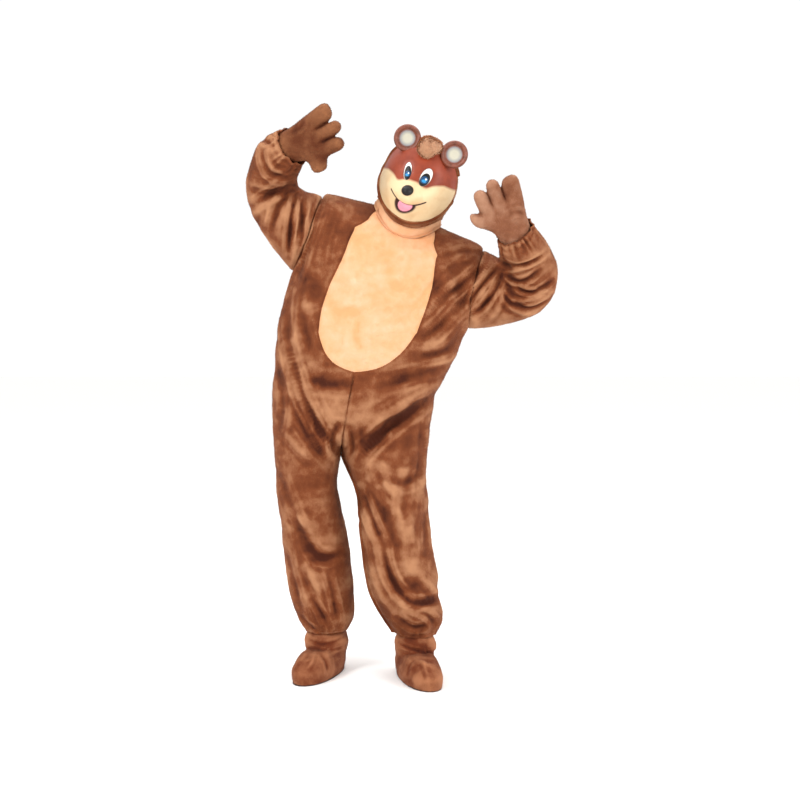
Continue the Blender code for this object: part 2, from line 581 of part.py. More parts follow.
def fold_lift(points, normals, folds, facing):
    """How far the folds raise each point; they fade out where the cloth turns away."""
    lift = np.zeros(len(points))
    shown = np.clip(FOLD_FADE[0] + facing * normals[:, 1] / FOLD_FADE[1], 0, 1)
    for fold in folds:
        start, end = np.array((fold.x0, fold.z0)), np.array((fold.x1, fold.z1))
        across = np.array((start[1] - end[1], end[0] - start[0]))
        middle = (start + end) / 2 + across / np.linalg.norm(across) * fold.bow * 2
        t = np.linspace(0, 1, FOLD_STEPS + 1)[:, None]
        line = (1 - t) ** 2 * start + 2 * t * (1 - t) * middle + t ** 2 * end
        gaps = np.linalg.norm(points[:, None, [0, 2]] - line[None], axis=2)
        nearest = gaps.argmin(axis=1)
        gap = gaps.min(axis=1)
        taper = np.sqrt(np.sin(np.pi * np.clip(nearest / FOLD_STEPS, FOLD_END, 1 - FOLD_END)))
        ridge = np.cos(np.pi / 2 * np.clip(gap / fold.width, 0, 1)) ** 2
        lift += fold.height * ridge * taper * shown
    return lift


# Materials
def material(name, colour, roughness):
    made = bpy.data.materials.new(name)
    made.use_nodes = True
    shader = made.node_tree.nodes["Principled BSDF"]
    shader.inputs["Base Color"].default_value = (*colour, 1)
    shader.inputs["Roughness"].default_value = roughness
    shader.inputs["Metallic"].default_value = 0
    return made


def split(face, points):
    """A four sided face as two triangles along its shorter diagonal, the same on both sides of a wall."""
    if len(face) == 3:
        return [face]
    a, b, c, d = face
    if np.linalg.norm(points[a] - points[c]) <= np.linalg.norm(points[b] - points[d]):
        return [(a, b, c), (a, c, d)]
    return [(a, b, d), (b, c, d)]


def wall_object(name, points, normals, faces, thickness, finish):
    """A closed wall on some faces of a skin: the inside follows the skin's own normals.

    Both sides of a seam use the same normals and diagonals there, so their rims are parallel and
    SEAM apart, which a modifier that looks at one panel alone would not give.
    """
    faces = [triangle for face in faces for triangle in split(face, points)]
    used = sorted({i for face in faces for i in face})
    number = {i: n for n, i in enumerate(used)}
    directed = {(face[k], face[(k + 1) % len(face)]): face for face in faces for k in range(len(face))}
    rim = [edge for edge in directed if (edge[1], edge[0]) not in directed]
    inward = {}
    for a, b in rim:
        middle = np.mean([points[i] for i in directed[(a, b)]], axis=0)
        along = points[b] - points[a]
        along = along / np.linalg.norm(along)
        towards = middle - points[a]
        towards = towards - along * towards.dot(along)
        towards = towards / np.linalg.norm(towards)
        for i in (a, b):
            inward.setdefault(i, []).append(towards)
    outer = np.array([points[i] for i in used])
    for i, directions in inward.items():
        total = sum(directions)
        bend = max(1 + directions[0].dot(directions[-1]), 0.5) if len(directions) > 1 else 1
        outer[number[i]] += total / bend * SEAM / 2
    depth = np.array([thickness(points[i]) for i in used])[:, None]
    inner = outer - np.array([normals[i] for i in used]) * depth
    count = len(used)
    shell = [tuple(number[i] for i in face) for face in faces]
    inside = [tuple(number[i] + count for i in reversed(face)) for face in faces]
    edge = []
    for a, b in rim:
        outer_a, outer_b = number[a], number[b]
        inner_a, inner_b = outer_a + count, outer_b + count
        if a < b:
            edge += [(outer_b, outer_a, inner_b), (outer_a, inner_a, inner_b)]
        else:
            edge += [(outer_b, outer_a, inner_a), (outer_b, inner_a, inner_b)]
    mesh = bpy.data.meshes.new(name)
    mesh.from_pydata([tuple(p) for p in np.vstack((outer, inner))], [], shell + inside + edge)
    mesh.shade_smooth()
    mesh.set_sharp_from_angle(angle=math.radians(50))
    return add_object(name, mesh, finish)


def add_object(name, mesh, finish):
    made = bpy.data.objects.new(name, mesh)
    mesh.materials.append(finish)
    PARTS.objects.link(made)
    return made


def build_suit():
    """The whole jumpsuit with its collar, as one skin and then as walls."""
    skin = Skin()
    centres = {}
    necks = []
    for side in (-1, 1):
        armhole, neck = build_side(skin, side, centres)
        build_sleeve(skin, side, armhole)
        necks.append(neck)
    ring = necks[1][:-1] + necks[0][::-1][:-1]
    collar_points(skin, ring)
    points = np.array(skin.points)
    normals = skin.normals()
    lift = fold_lift(points, normals, FRONT_FOLDS, -1) + fold_lift(points, normals, BACK_FOLDS, 1)
    points += normals * (lift * np.array(skin.loose))[:, None]
    skin.points = list(points)
    normals = skin.normals()
    for name, faces in skin.panels.items():
        if name in ("belly_panel", "collar"):
            wall_object(name, points, normals, faces, lambda point: FLEECE, FINISH["peach"])
        else:
            wall_object(name, points, normals, faces, lambda point: PLUSH, FINISH["plush"])


def collar_place(start, middle, up, step):
    """A point of the collar above a point of the neck seam, and the way out from the neck there."""
    out = start - middle
    out = out - up * out.dot(up)
    out = out / np.linalg.norm(out)
    height = COLLAR_HEIGHT * (COLLAR_BACK + (1 - COLLAR_BACK) * max(0, -out[1]))
    return start + up * height * step - out * COLLAR_IN * step ** COLLAR_CURL, out


def collar_points(skin, ring):
    """A stand collar that rises from the neck seam and leans in under the hood."""
    lean = math.radians(TORSO[-1].lean)
    up = np.array((math.sin(lean), 0, math.cos(lean)))
    middle = np.mean([skin.points[i] for i in ring], axis=0)
    below = ring + ring[:1]
    for step in COLLAR_STEPS:
        ids = [skin.add(collar_place(skin.points[i], middle, up, step)[0]) for i in ring]
        skin.strip("collar", below, ids + ids[:1], False)
        below = ids + ids[:1]


def head_frame(yaw_share):
    """The head's own axes: rolled with the shoulders, and turned by a share of its yaw."""
    return Matrix.Rotation(HEAD_ROLL, 3, "Y") @ Matrix.Rotation(HEAD_YAW * yaw_share, 3, "Z")


def collar_at(angle, step):
    """A point of the collar at an angle from the front, with the way out from the neck there."""
    side = 1 if angle >= 0 else -1
    lean = math.radians(TORSO[-1].lean)
    up = np.array((math.sin(lean), 0, math.cos(lean)))
    middle = (torso_point(1, 0, NECKLINE) + torso_point(1, math.pi, NECKLINE)) / 2
    return collar_place(torso_point(side, abs(angle), NECKLINE), middle, up, step)


def hood_edge(angle):
    """The hood's lower edge at an angle, around the collar, and its height in the head's own axes."""
    edge, away = collar_at(angle, HOOD_EDGE)
    edge = edge + away * (THIN_PLUSH + COLLAR_CLEAR)
    return edge, (np.array(head_frame(0)).T @ (edge - np.array(HEAD)))[2]


def hood_section(angle, z, out):
    """A point of the plain hood in the head's own axes."""
    deep = eased(HOOD, "front" if abs(angle) < math.pi / 2 else "back", z) + out
    reach = eased(HOOD, "half", z) + out
    return np.array((reach * math.sin(angle), -deep * math.cos(angle), z + out * max(0.0, z / CROWN) ** 2))


def head_point(angle, share, out=0.0):
    """A point of the head: the angle from the middle of the face, and a share from edge to crown."""
    edge, low = hood_edge(angle)
    climb = min(1.0, share / HOOD_BLEND)
    z = low + (CROWN - low) * share
    axes = np.array(head_frame(climb))
    centre = np.array(HEAD)
    start = centre + np.array(head_frame(0)) @ hood_section(angle, low, 0)
    return centre + axes @ hood_section(angle, z, out) + (edge - start) * (1 - climb ** 2 * (3 - 2 * climb))


def swelling(angle, share):
    """How far the moulded face stands out from the plain hood at a point."""
    z = front_height(share)
    out = 0.0
    for bump in FACE:
        across = (math.degrees(angle) - bump.angle) / bump.wide
        out += bump.out * math.exp(-across ** 2 - ((z - bump.z) / bump.tall) ** 2)
    return out


def front_height(share):
    """The height in the head's own axes at a share of the way up the front of the hood."""
    low = hood_edge(0)[1]
    return low + (CROWN - low) * share


def front_share(z):
    """The share of the way up the front of the hood at which the height is z."""
    low = hood_edge(0)[1]
    return (z - low) / (CROWN - low)


def face_angle(share):
    """Half of the face opening at a share of the way up the hood."""
    middle, half = (CHIN + FOREHEAD) / 2, (FOREHEAD - CHIN) / 2
    off = min(1.0, abs(share - middle) / half)
    return FACE_HALF_ANGLE * (1 - off ** FACE_SQUARE) ** (1 / FACE_SQUARE)


def build_head():
    """Hood and mask as one skin: the mask fills the hood's face opening along a shared seam."""
    skin = Skin()
    middle, half = (CHIN + FOREHEAD) / 2, (FOREHEAD - CHIN) / 2
    opening = [middle - half * math.cos(math.pi * i / FACE_ROWS) for i in range(FACE_ROWS + 1)]
    border = {-1: [], 1: []}
    crown = skin.add(head_point(0, 1))
    rows = []
    for share in [0.0] + opening + CROWN_SHARES:
        start = face_angle(share) if share in opening[1:-1] else 0.0
        front = None if start else skin.add(head_point(0, share))
        back = skin.add(head_point(math.pi, share))
        row = {}
        for side in (-1, 1):
            angles = spread(start, math.pi, HEAD_COLUMNS if rows else HEAD_COLUMNS * 2)
            first = skin.add(head_point(side * start, share)) if start else front
            row[side] = [first] + [skin.add(head_point(side * a, share)) for a in angles[1:-1]] + [back]
            if rows:
                skin.strip("hood", rows[-1][side], row[side], side < 0)
            if share in opening:
                border[side].append((first, side * start, share))
        rows.append(row)
    for side in (-1, 1):
        skin.strip("hood", rows[-1][side], [crown], side < 0)
    add_mask(skin, border[1] + border[-1][-2:0:-1])
    normals = skin.normals()
    wall_object("hood", skin.points, normals, skin.panels["hood"], lambda point: THIN_PLUSH, FINISH["plush"])
    wall_object("mask", skin.points, normals, skin.panels["mask"], lambda point: VINYL, FINISH["mask"])
    return head_form(skin, rows[0])


def add_mask(skin, ring):
    """Rings of the mask, from the edge of the face opening in to the nose."""
    nose = front_share(NOSE[1])
    ahead = np.array(head_frame(1)) @ np.array((0, -1, 0))
    rows = [[entry[0] for entry in ring]]
    for step in range(1, FACE_RINGS + 1):
        near = (1 - step / FACE_RINGS) ** MASK_CROWDING
        ids = []
        for _, angle, share in ring if near else [(None, 0, nose)]:
            a = NOSE[0] + (angle - NOSE[0]) * near
            b = nose + (share - nose) * near
            out = swelling(a, b) * min(1.0, ((1 - near) * MASK_BLEND[0]) ** MASK_BLEND[1])
            ids.append(skin.add(head_point(a, b) + ahead * out * math.cos(a)))
        rows.append(ids)
    for lower, upper in zip(rows[:-1], rows[1:-1]):
        skin.strip("mask", lower + lower[:1], upper + upper[:1], False)
    skin.strip("mask", rows[-2] + rows[-2][:1], rows[-1], False)


def head_form(skin, edge):
    """A closed form a little larger than hood and mask: it shapes the seats of ears and tuft."""
    points = np.array(skin.points)
    grown = points + skin.normals() * SEAT
    faces = [triangle for panel in skin.panels.values() for face in panel for triangle in split(face, points)]
    middle = len(grown)
    for side in (-1, 1):
        for here, there in zip(edge[side], edge[side][1:]):
            faces.append((there, here, middle) if side > 0 else (here, there, middle))
    mesh = bpy.data.meshes.new("head form")
    low = np.mean([grown[i] for i in edge[-1] + edge[1]], axis=0)
    mesh.from_pydata([tuple(p) for p in np.vstack((grown, low))], [], faces)
    form = bpy.data.objects.new("head form", mesh)
    form.hide_render = True
    form.display_type = "WIRE"
    CUTTERS.objects.link(form)
    return form


def seat_on(made, form):
    """Cut away what would lie inside the head."""
    seat = made.modifiers.new("seat", "BOOLEAN")
    seat.object = form
    seat.operation = "DIFFERENCE"
    seat.solver = "EXACT"


def loft(name, rows, closed_rows=True):
    """A mesh through rows of points: each row a ring, the first and last ring filled."""
    bm = bmesh.new()
    rings = [[bm.verts.new(tuple(point)) for point in row] for row in rows]
    for lower, upper in zip(rings, rings[1:]):
        for j in range(len(lower)):
            k = (j + 1) % len(lower)
            bm.faces.new((lower[j], lower[k], upper[k], upper[j]))
    if closed_rows:
        bm.faces.new(rings[0][::-1])
        bm.faces.new(rings[-1])
    bmesh.ops.recalc_face_normals(bm, faces=bm.faces)
    mesh = bpy.data.meshes.new(name)
    bm.to_mesh(mesh)
    bm.free()
    return mesh


def build_ears(form):
    """Two moulded dishes that face forward and rest on the head."""
    for name, side in (("ear_right", -1), ("ear_left", 1)):
        mesh = bpy.data.meshes.new(name)
        mesh.from_pydata([(r, 0, z) for r, z in EAR_PROFILE],
                         [(i, i + 1) for i in range(len(EAR_PROFILE) - 1)], [])
        ear = add_object(name, mesh, FINISH["mask"])
        turned = ear.modifiers.new("turned", "SCREW")
        turned.steps = turned.render_steps = EAR_STEPS
        turned.use_merge_vertices = True
        turned.merge_threshold = 0.0001
        turned.use_normal_flip = True
        seat_on(ear, form)
        axes = head_frame(1)
        ear.location = HEAD + axes @ Vector((side * EAR_PLACE[0], EAR_PLACE[1], EAR_PLACE[2]))
        facing = axes @ Matrix.Rotation(math.radians(90), 3, "X")
        ear.rotation_euler = facing.to_euler()


def build_tuft(form):
    """A tuft of longer pile between the ears, in locks, lying on the head."""
    rings = []
    for row in TUFT:
        widest = math.asin(row.half / eased(HOOD, "half", front_height(row.share)))
        angles = spread(-widest, widest, TUFT_COLUMNS)
        over = []
        for i, angle in enumerate(angles):
            mound = TUFT_EDGE + (1 - TUFT_EDGE) * math.sin(math.pi * i / TUFT_COLUMNS)
            locks = 1 + TUFT_WAVE * math.cos(2 * math.pi * TUFT_LOCKS * (i + 0.5) / TUFT_COLUMNS)
            over.append(head_point(angle, row.share, SEAT + row.rise * mound * locks))
        under = [head_point(angle, row.share, -TUFT_SUNK) for angle in reversed(angles)]
        rings.append(over + under)
    mesh = loft("tuft", rings)
    mesh.shade_smooth()
    seat_on(add_object("tuft", mesh, FINISH["tuft"]), form)


def wrist_row(grip, path, across, palm, along):
    """Eight points of a mitt's wrist, inside the elastic of its cuff."""
    turn = math.radians(grip.angle)
    up = Vector((math.sin(turn), 0, math.cos(turn)))
    forward = path.cross(up).normalized()
    tall, deep = (size - PLUSH - CUFF_WAVE - WRIST_CLEAR for size in (grip.half, grip.deep))
    row = []
    for k in range(8):
        angle = math.radians(WRIST_TURN[0] + WRIST_TURN[1] * k)
        way = across * math.cos(angle) * -1 + palm * math.sin(angle)
        way = (way - path * way.dot(path)).normalized()
        size = WRIST_FIT / math.hypot(way.dot(up) / tall, way.dot(forward) / deep)
        row.append(Vector((grip.x, grip.y, grip.z)) + path * along + way * size)
    return row


def palm_row(row, start, hand, across, palm):
    """Eight points around the palm, in the order of the wrist's."""
    front = [start + hand * row.along - across * row.half * c + palm * row.thick for c in PALM_COLUMNS]
    back = [start + hand * row.along - across * row.half * c - palm * row.thick for c in PALM_COLUMNS]
    return front + back[::-1]


def grow(bm, base, shift, across, palm, half, thick):
    """A finger or the thumb: loops grown from four corners of the cage and closed at the tip."""
    middle = sum((corner.co for corner in base), Vector()) / 4
    for reach, slim in SLIM:
        centre = middle + shift * reach + palm * FINGER_CURL * reach ** 2
        loop = [bm.verts.new(centre + across * a * half * slim + palm * b * thick * slim)
                for a, b in ((-1, 1), (1, 1), (1, -1), (-1, -1))]
        for j in range(4):
            bm.faces.new((base[j], base[(j + 1) % 4], loop[(j + 1) % 4], loop[j]))
        base = loop
    bm.faces.new(base)


def build_mitt(mitt):
    """A mitt of three fingers and a thumb: a coarse cage, rounded, with its wrist in the cuff."""
    table = LEFT_SLEEVE if mitt.side > 0 else RIGHT_SLEEVE
    grip, end = table[-2], table[-1]
    path = Vector((end.x - grip.x, end.y - grip.y, end.z - grip.z)).normalized()
    hand = Vector(mitt.hand).normalized()
    palm = Vector(mitt.palm)
    palm = (palm - hand * palm.dot(hand)).normalized()
    across = hand.cross(palm) * mitt.side       # away from the thumb
    start = Vector((grip.x, grip.y, grip.z))
    places = [wrist_row(grip, path, across, palm, along) for along in WRIST_ROWS]
    places += [palm_row(row, start, hand, across, palm) for row in PALM]
    bm = bmesh.new()
    rows = [[bm.verts.new(place) for place in row] for row in places]
    for lower, upper in zip(rows, rows[1:]):
        for j in range(8):
            if upper is rows[3] and j == 3:
                continue
            k = (j + 1) % 8
            bm.faces.new((lower[j], lower[k], upper[k], upper[j]))
    low, high = rows[2], rows[3]
    base = [low[3], low[4], high[4], high[3]]
    root = (PALM[0].along + PALM[1].along) / 2
    shift = hand * (mitt.thumb - root) - across * (THUMB.across - PALM[1].half)
    grow_thumb(bm, base, shift, hand, palm)
    for finger, tip in enumerate(FINGERS):
        base = [high[finger], high[finger + 1], high[6 - finger], high[7 - finger]]
        middle = sum((corner.co for corner in base), Vector()) / 4 - start
        shift = hand * (tip.along - middle.dot(hand)) - across * (tip.across + middle.dot(across))
        grow(bm, base, shift, -across, palm, tip.half, PALM[1].thick)
    bmesh.ops.recalc_face_normals(bm, faces=bm.faces)
    mesh = bpy.data.meshes.new(mitt.name)
    bm.to_mesh(mesh)
    bm.free()
    mesh.shade_smooth()
    made = add_object(mitt.name, mesh, FINISH["plush"])
    rounded = made.modifiers.new("rounded", "SUBSURF")
    rounded.levels = rounded.render_levels = 1
    cloth = made.modifiers.new("cloth", "SOLIDIFY")
    cloth.thickness = MITT_WALL
    cloth.offset = -1


def grow_thumb(bm, base, shift, hand, palm):
    """The thumb leaves the side of the palm, so its width runs along the hand."""
    middle = sum((corner.co for corner in base), Vector()) / 4
    for reach, slim in SLIM:
        centre = middle + shift * reach + palm * FINGER_CURL * reach
        loop = [bm.verts.new(centre + hand * a * THUMB.half * slim + palm * b * THUMB.half * slim)
                for a, b in ((-1, 1), (-1, -1), (1, -1), (1, 1))]
        for j in range(4):
            bm.faces.new((base[j], base[(j + 1) % 4], loop[(j + 1) % 4], loop[j]))
        base = loop
    bm.faces.new(base)


def sole_outline(shoe):
    """The outline of a sole, counter-clockwise from above, and its heel to toe direction."""
    heel, toe = Vector(shoe.heel), Vector(shoe.toe)
    ahead = (toe - heel).normalized()
    beside = Vector((ahead.y, -ahead.x))
    half_length = (toe - heel).length / 2
    middle = (heel + toe) / 2
    outline = []
    for i in range(SHOE_COLUMNS):
        angle = 2 * math.pi * i / SHOE_COLUMNS
        along = -math.cos(angle) * abs(math.cos(angle)) ** SOLE_SQUARE * half_length
        width = SOLE_HALF + SOLE_TOE * along / half_length
        outline.append(middle + ahead * along + beside * width * math.sin(angle))
    return outline


def build_shoe_cover(shoe):
    """A thin plush upper from the edge of its sole to a shaft under the trouser hem, and the sole."""
    outline = sole_outline(shoe)
    table = LEFT_LEG if shoe.side > 0 else RIGHT_LEG
    hem, elastic = table[0], table[1]
    squeeze = PLUSH + HEM_WAVE + SHAFT_CLEAR
    heel, toe = Vector(shoe.heel), Vector(shoe.toe)
    ahead = (toe - heel).normalized()
    columns = []
    for point in outline:
        away = point - Vector((elastic.x, elastic.y))
        around = math.atan2(away.y, away.x)
        behind = (point - (heel + toe) / 2).normalized()
        forward = max(0.0, behind.dot(ahead))

        def shaft(z, smaller):
            return Vector((elastic.x + (elastic.half - smaller) * math.cos(around),
                           elastic.y + (elastic.deep - smaller) * math.sin(around), z))
        edge = Vector((point.x, point.y, FLOOR + SOLE + SEAM))
        ankle = shaft(hem.z - ANKLE_DROP, 0)
        out, up, toe_up = UPPER_RISE
        rise = edge + Vector((behind.x, behind.y, 0)) * out + Vector((0, 0, up + toe_up * forward))
        instep = (rise + ankle) / 2 + Vector((0, 0, INSTEP_RISE[0] + INSTEP_RISE[1] * forward))
        steps = [shaft(hem.z + step.above, squeeze if step.smaller is None else step.smaller)
                 for step in SHAFT]
        columns.append([edge, rise, instep, ankle] + steps
                       + [shaft(elastic.z, squeeze), shaft(elastic.z + SHAFT_TOP, squeeze)])
    rows = []
    for share in spread(0, 1, SHOE_ROWS):
        rows.append([curve_through([tuple(p) for p in column], share) for column in columns])
    mesh = loft("shoe_cover_" + shoe.name, rows, False)
    mesh.shade_smooth()
    upper = add_object("shoe_cover_" + shoe.name, mesh, FINISH["thin plush"])
    cloth = upper.modifiers.new("cloth", "SOLIDIFY")
    cloth.thickness = THIN_PLUSH
    cloth.offset = -1

    flat = bpy.data.curves.new("sole_" + shoe.name, "CURVE")
    flat.dimensions = "2D"
    flat.fill_mode = "BOTH"
    flat.extrude = SOLE / 2
    line = flat.splines.new("POLY")
    line.points.add(len(outline) - 1)
    for spot, point in zip(line.points, outline):
        spot.co = (point.x, point.y, 0, 1)
    line.use_cyclic_u = True
    sole = bpy.data.objects.new("sole_" + shoe.name, flat)
    flat.materials.append(FINISH["sole"])
    sole.location.z = FLOOR + SOLE / 2
    PARTS.objects.link(sole)


# Remove what the scene holds, then make one collection for the pieces and one for the cutters
for old in list(bpy.data.objects):
    bpy.data.objects.remove(old, do_unlink=True)
PARTS = bpy.data.collections.new("teddy_bear_costume")
CUTTERS = bpy.data.collections.new("cutters")
for collection in (PARTS, CUTTERS):
    bpy.context.scene.collection.children.link(collection)

FINISH = {
    "plush": material("brown plush", (0.26, 0.11, 0.055), 0.9),
    "peach": material("peach plush", (0.90, 0.52, 0.27), 0.85),
    "mask": material("painted vinyl", (0.62, 0.34, 0.17), 0.35),
    "tuft": material("tan pile", (0.50, 0.27, 0.13), 0.9),
    "thin plush": material("thin red brown plush", (0.24, 0.09, 0.05), 0.85),
    "sole": material("sole vinyl", (0.10, 0.05, 0.03), 0.6),
}

build_suit()
head = build_head()
build_ears(head)
build_tuft(head)
for entry in MITTS:
    build_mitt(entry)
for entry in SHOES:
    build_shoe_cover(entry)
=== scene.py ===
# %% [markdown]
# # Teddy bear costume
# A loose plush jumpsuit with a peach belly, a plush hood with a moulded bear face, two mitts and two
# shoe covers, as it hangs when worn with both sleeves up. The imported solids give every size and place.
# This script gives each piece its cloth: soft creases, a short pile that is brushed downwards, seams that
# sink into the pile, and a painted vinyl face. We start by loading the solids as a fixed frame.

# %% Load the frame
import json
import math
from collections import namedtuple

import bmesh
import bpy
import numpy as np
from mathutils import Matrix, Vector, kdtree

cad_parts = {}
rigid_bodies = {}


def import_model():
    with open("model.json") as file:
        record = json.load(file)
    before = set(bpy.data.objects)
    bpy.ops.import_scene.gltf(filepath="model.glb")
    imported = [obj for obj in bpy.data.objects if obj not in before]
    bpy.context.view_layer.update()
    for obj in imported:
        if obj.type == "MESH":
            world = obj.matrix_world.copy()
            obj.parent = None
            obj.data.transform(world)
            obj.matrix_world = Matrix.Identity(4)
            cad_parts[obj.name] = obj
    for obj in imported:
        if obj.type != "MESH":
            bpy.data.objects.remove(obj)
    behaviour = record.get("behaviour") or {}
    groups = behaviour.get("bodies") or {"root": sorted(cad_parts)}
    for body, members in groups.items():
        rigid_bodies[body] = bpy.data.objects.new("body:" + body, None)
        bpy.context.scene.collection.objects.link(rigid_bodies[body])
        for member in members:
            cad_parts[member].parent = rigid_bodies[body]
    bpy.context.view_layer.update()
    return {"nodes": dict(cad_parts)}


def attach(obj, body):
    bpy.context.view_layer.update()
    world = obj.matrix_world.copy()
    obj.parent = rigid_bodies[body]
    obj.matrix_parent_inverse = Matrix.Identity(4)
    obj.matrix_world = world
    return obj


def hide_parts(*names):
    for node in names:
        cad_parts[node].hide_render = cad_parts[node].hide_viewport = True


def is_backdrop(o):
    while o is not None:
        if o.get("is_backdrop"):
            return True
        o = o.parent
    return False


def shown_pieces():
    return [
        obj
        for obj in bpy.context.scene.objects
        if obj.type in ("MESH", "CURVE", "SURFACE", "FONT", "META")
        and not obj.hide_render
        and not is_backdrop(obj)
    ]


for old in list(bpy.data.objects):
    bpy.data.objects.remove(old, do_unlink=True)
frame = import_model()
NODES = frame["nodes"]
MM = 0.001
print("frame:", len(NODES), "nodes")

# %% [markdown]
# Every node is a closed wall. Its outside is the form that shows, so each cloth piece starts from the
# outer faces alone. A wall turns sharply at its rim, so a region that grows from face to face and stops at
# sharp edges is one side of the wall, and the larger side is the outside.

# %% Take the outside of a wall
MERGE = 0.02 * MM
RIM_ANGLE = math.radians(62)


def outer_side(name):
    """The outer faces of a node's wall as a mesh of quads where two triangles pair up."""
    bm = bmesh.new()
    bm.from_mesh(NODES[name].data)
    bmesh.ops.remove_doubles(bm, verts=bm.verts, dist=MERGE)
    left = set(bm.faces)
    largest, size = [], 0.0
    while left:
        region = [left.pop()]
        for face in region:
            for edge in face.edges:
                if edge.calc_face_angle(math.pi) > RIM_ANGLE:
                    continue
                for other in edge.link_faces:
                    if other in left:
                        left.remove(other)
                        region.append(other)
        area = sum(face.calc_area() for face in region)
        if area > size:
            largest, size = region, area
    kept = set(largest)
    bmesh.ops.delete(bm, geom=[face for face in bm.faces if face not in kept], context="FACES")
    bmesh.ops.join_triangles(bm, faces=bm.faces, angle_face_threshold=math.radians(50),
                             angle_shape_threshold=math.radians(60))
    mesh = bpy.data.meshes.new(name + "_outside")
    bm.to_mesh(mesh)
    bm.free()
    print(name, "outside:", len(mesh.polygons), "faces,", round(size, 4), "square metres")
    return mesh


# %% [markdown]
# The jumpsuit is sewn from panels, and a crease doesn't stop at a seam. So the panels are first joined
# into one skin that shares its points along the seams. Each face remembers its panel in a named attribute,
# and the skin is cut into panels again after the creases are in. Subdivision turns the coarse faces of the
# solids into rounded cloth.

# %% Join the suit's panels into one skin
SUIT = ["front_right", "front_left", "back_right", "back_left", "belly_panel", "sleeve_right",
        "sleeve_left", "collar"]
SEAM_REACH = 0.8 * MM
SMOOTH_LEVELS = 3


def plain_mesh(made):
    """The mesh of an object with its modifiers worked in; the object goes away."""
    evaluated = made.evaluated_get(bpy.context.evaluated_depsgraph_get())
    mesh = bpy.data.meshes.new_from_object(evaluated)
    bpy.data.objects.remove(made, do_unlink=True)
    return mesh


def subdivided(mesh, levels):
    """A rounder copy of a mesh."""
    made = bpy.data.objects.new(mesh.name, mesh)
    bpy.context.scene.collection.objects.link(made)
    rounder = made.modifiers.new("rounder", "SUBSURF")
    rounder.levels = rounder.render_levels = levels
    return plain_mesh(made)


def joined_skin(names):
    """The outsides of neighbouring nodes as one mesh, with the number of its panel on each face."""
    bm = bmesh.new()
    panel = bm.faces.layers.int.new("panel")
    for number, name in enumerate(names):
        start = len(bm.faces)
        bm.from_mesh(outer_side(name))
        bm.faces.ensure_lookup_table()
        for face in bm.faces[start:]:
            face[panel] = number
    edge_points = [vert for vert in bm.verts if vert.is_boundary]
    bmesh.ops.remove_doubles(bm, verts=edge_points, dist=SEAM_REACH)
    mesh = bpy.data.meshes.new(names[0] + "_skin")
    bm.to_mesh(mesh)
    bm.free()
    return mesh


suit_skin = subdivided(joined_skin(SUIT), SMOOTH_LEVELS)
print("suit skin:", len(suit_skin.polygons), "faces")

# %% [markdown]
# Creases are written as short tables, one row for each, in the suit's own sizes. A row gives three points
# that the crease passes through, seen from the front, its half width and its depth: below zero is a
# trough, above zero a ridge. Each has a soft lip on both sides and fades out at its ends, as a real crease
# does where cloth buckles. The same helper serves the back, with the row facing the other way.

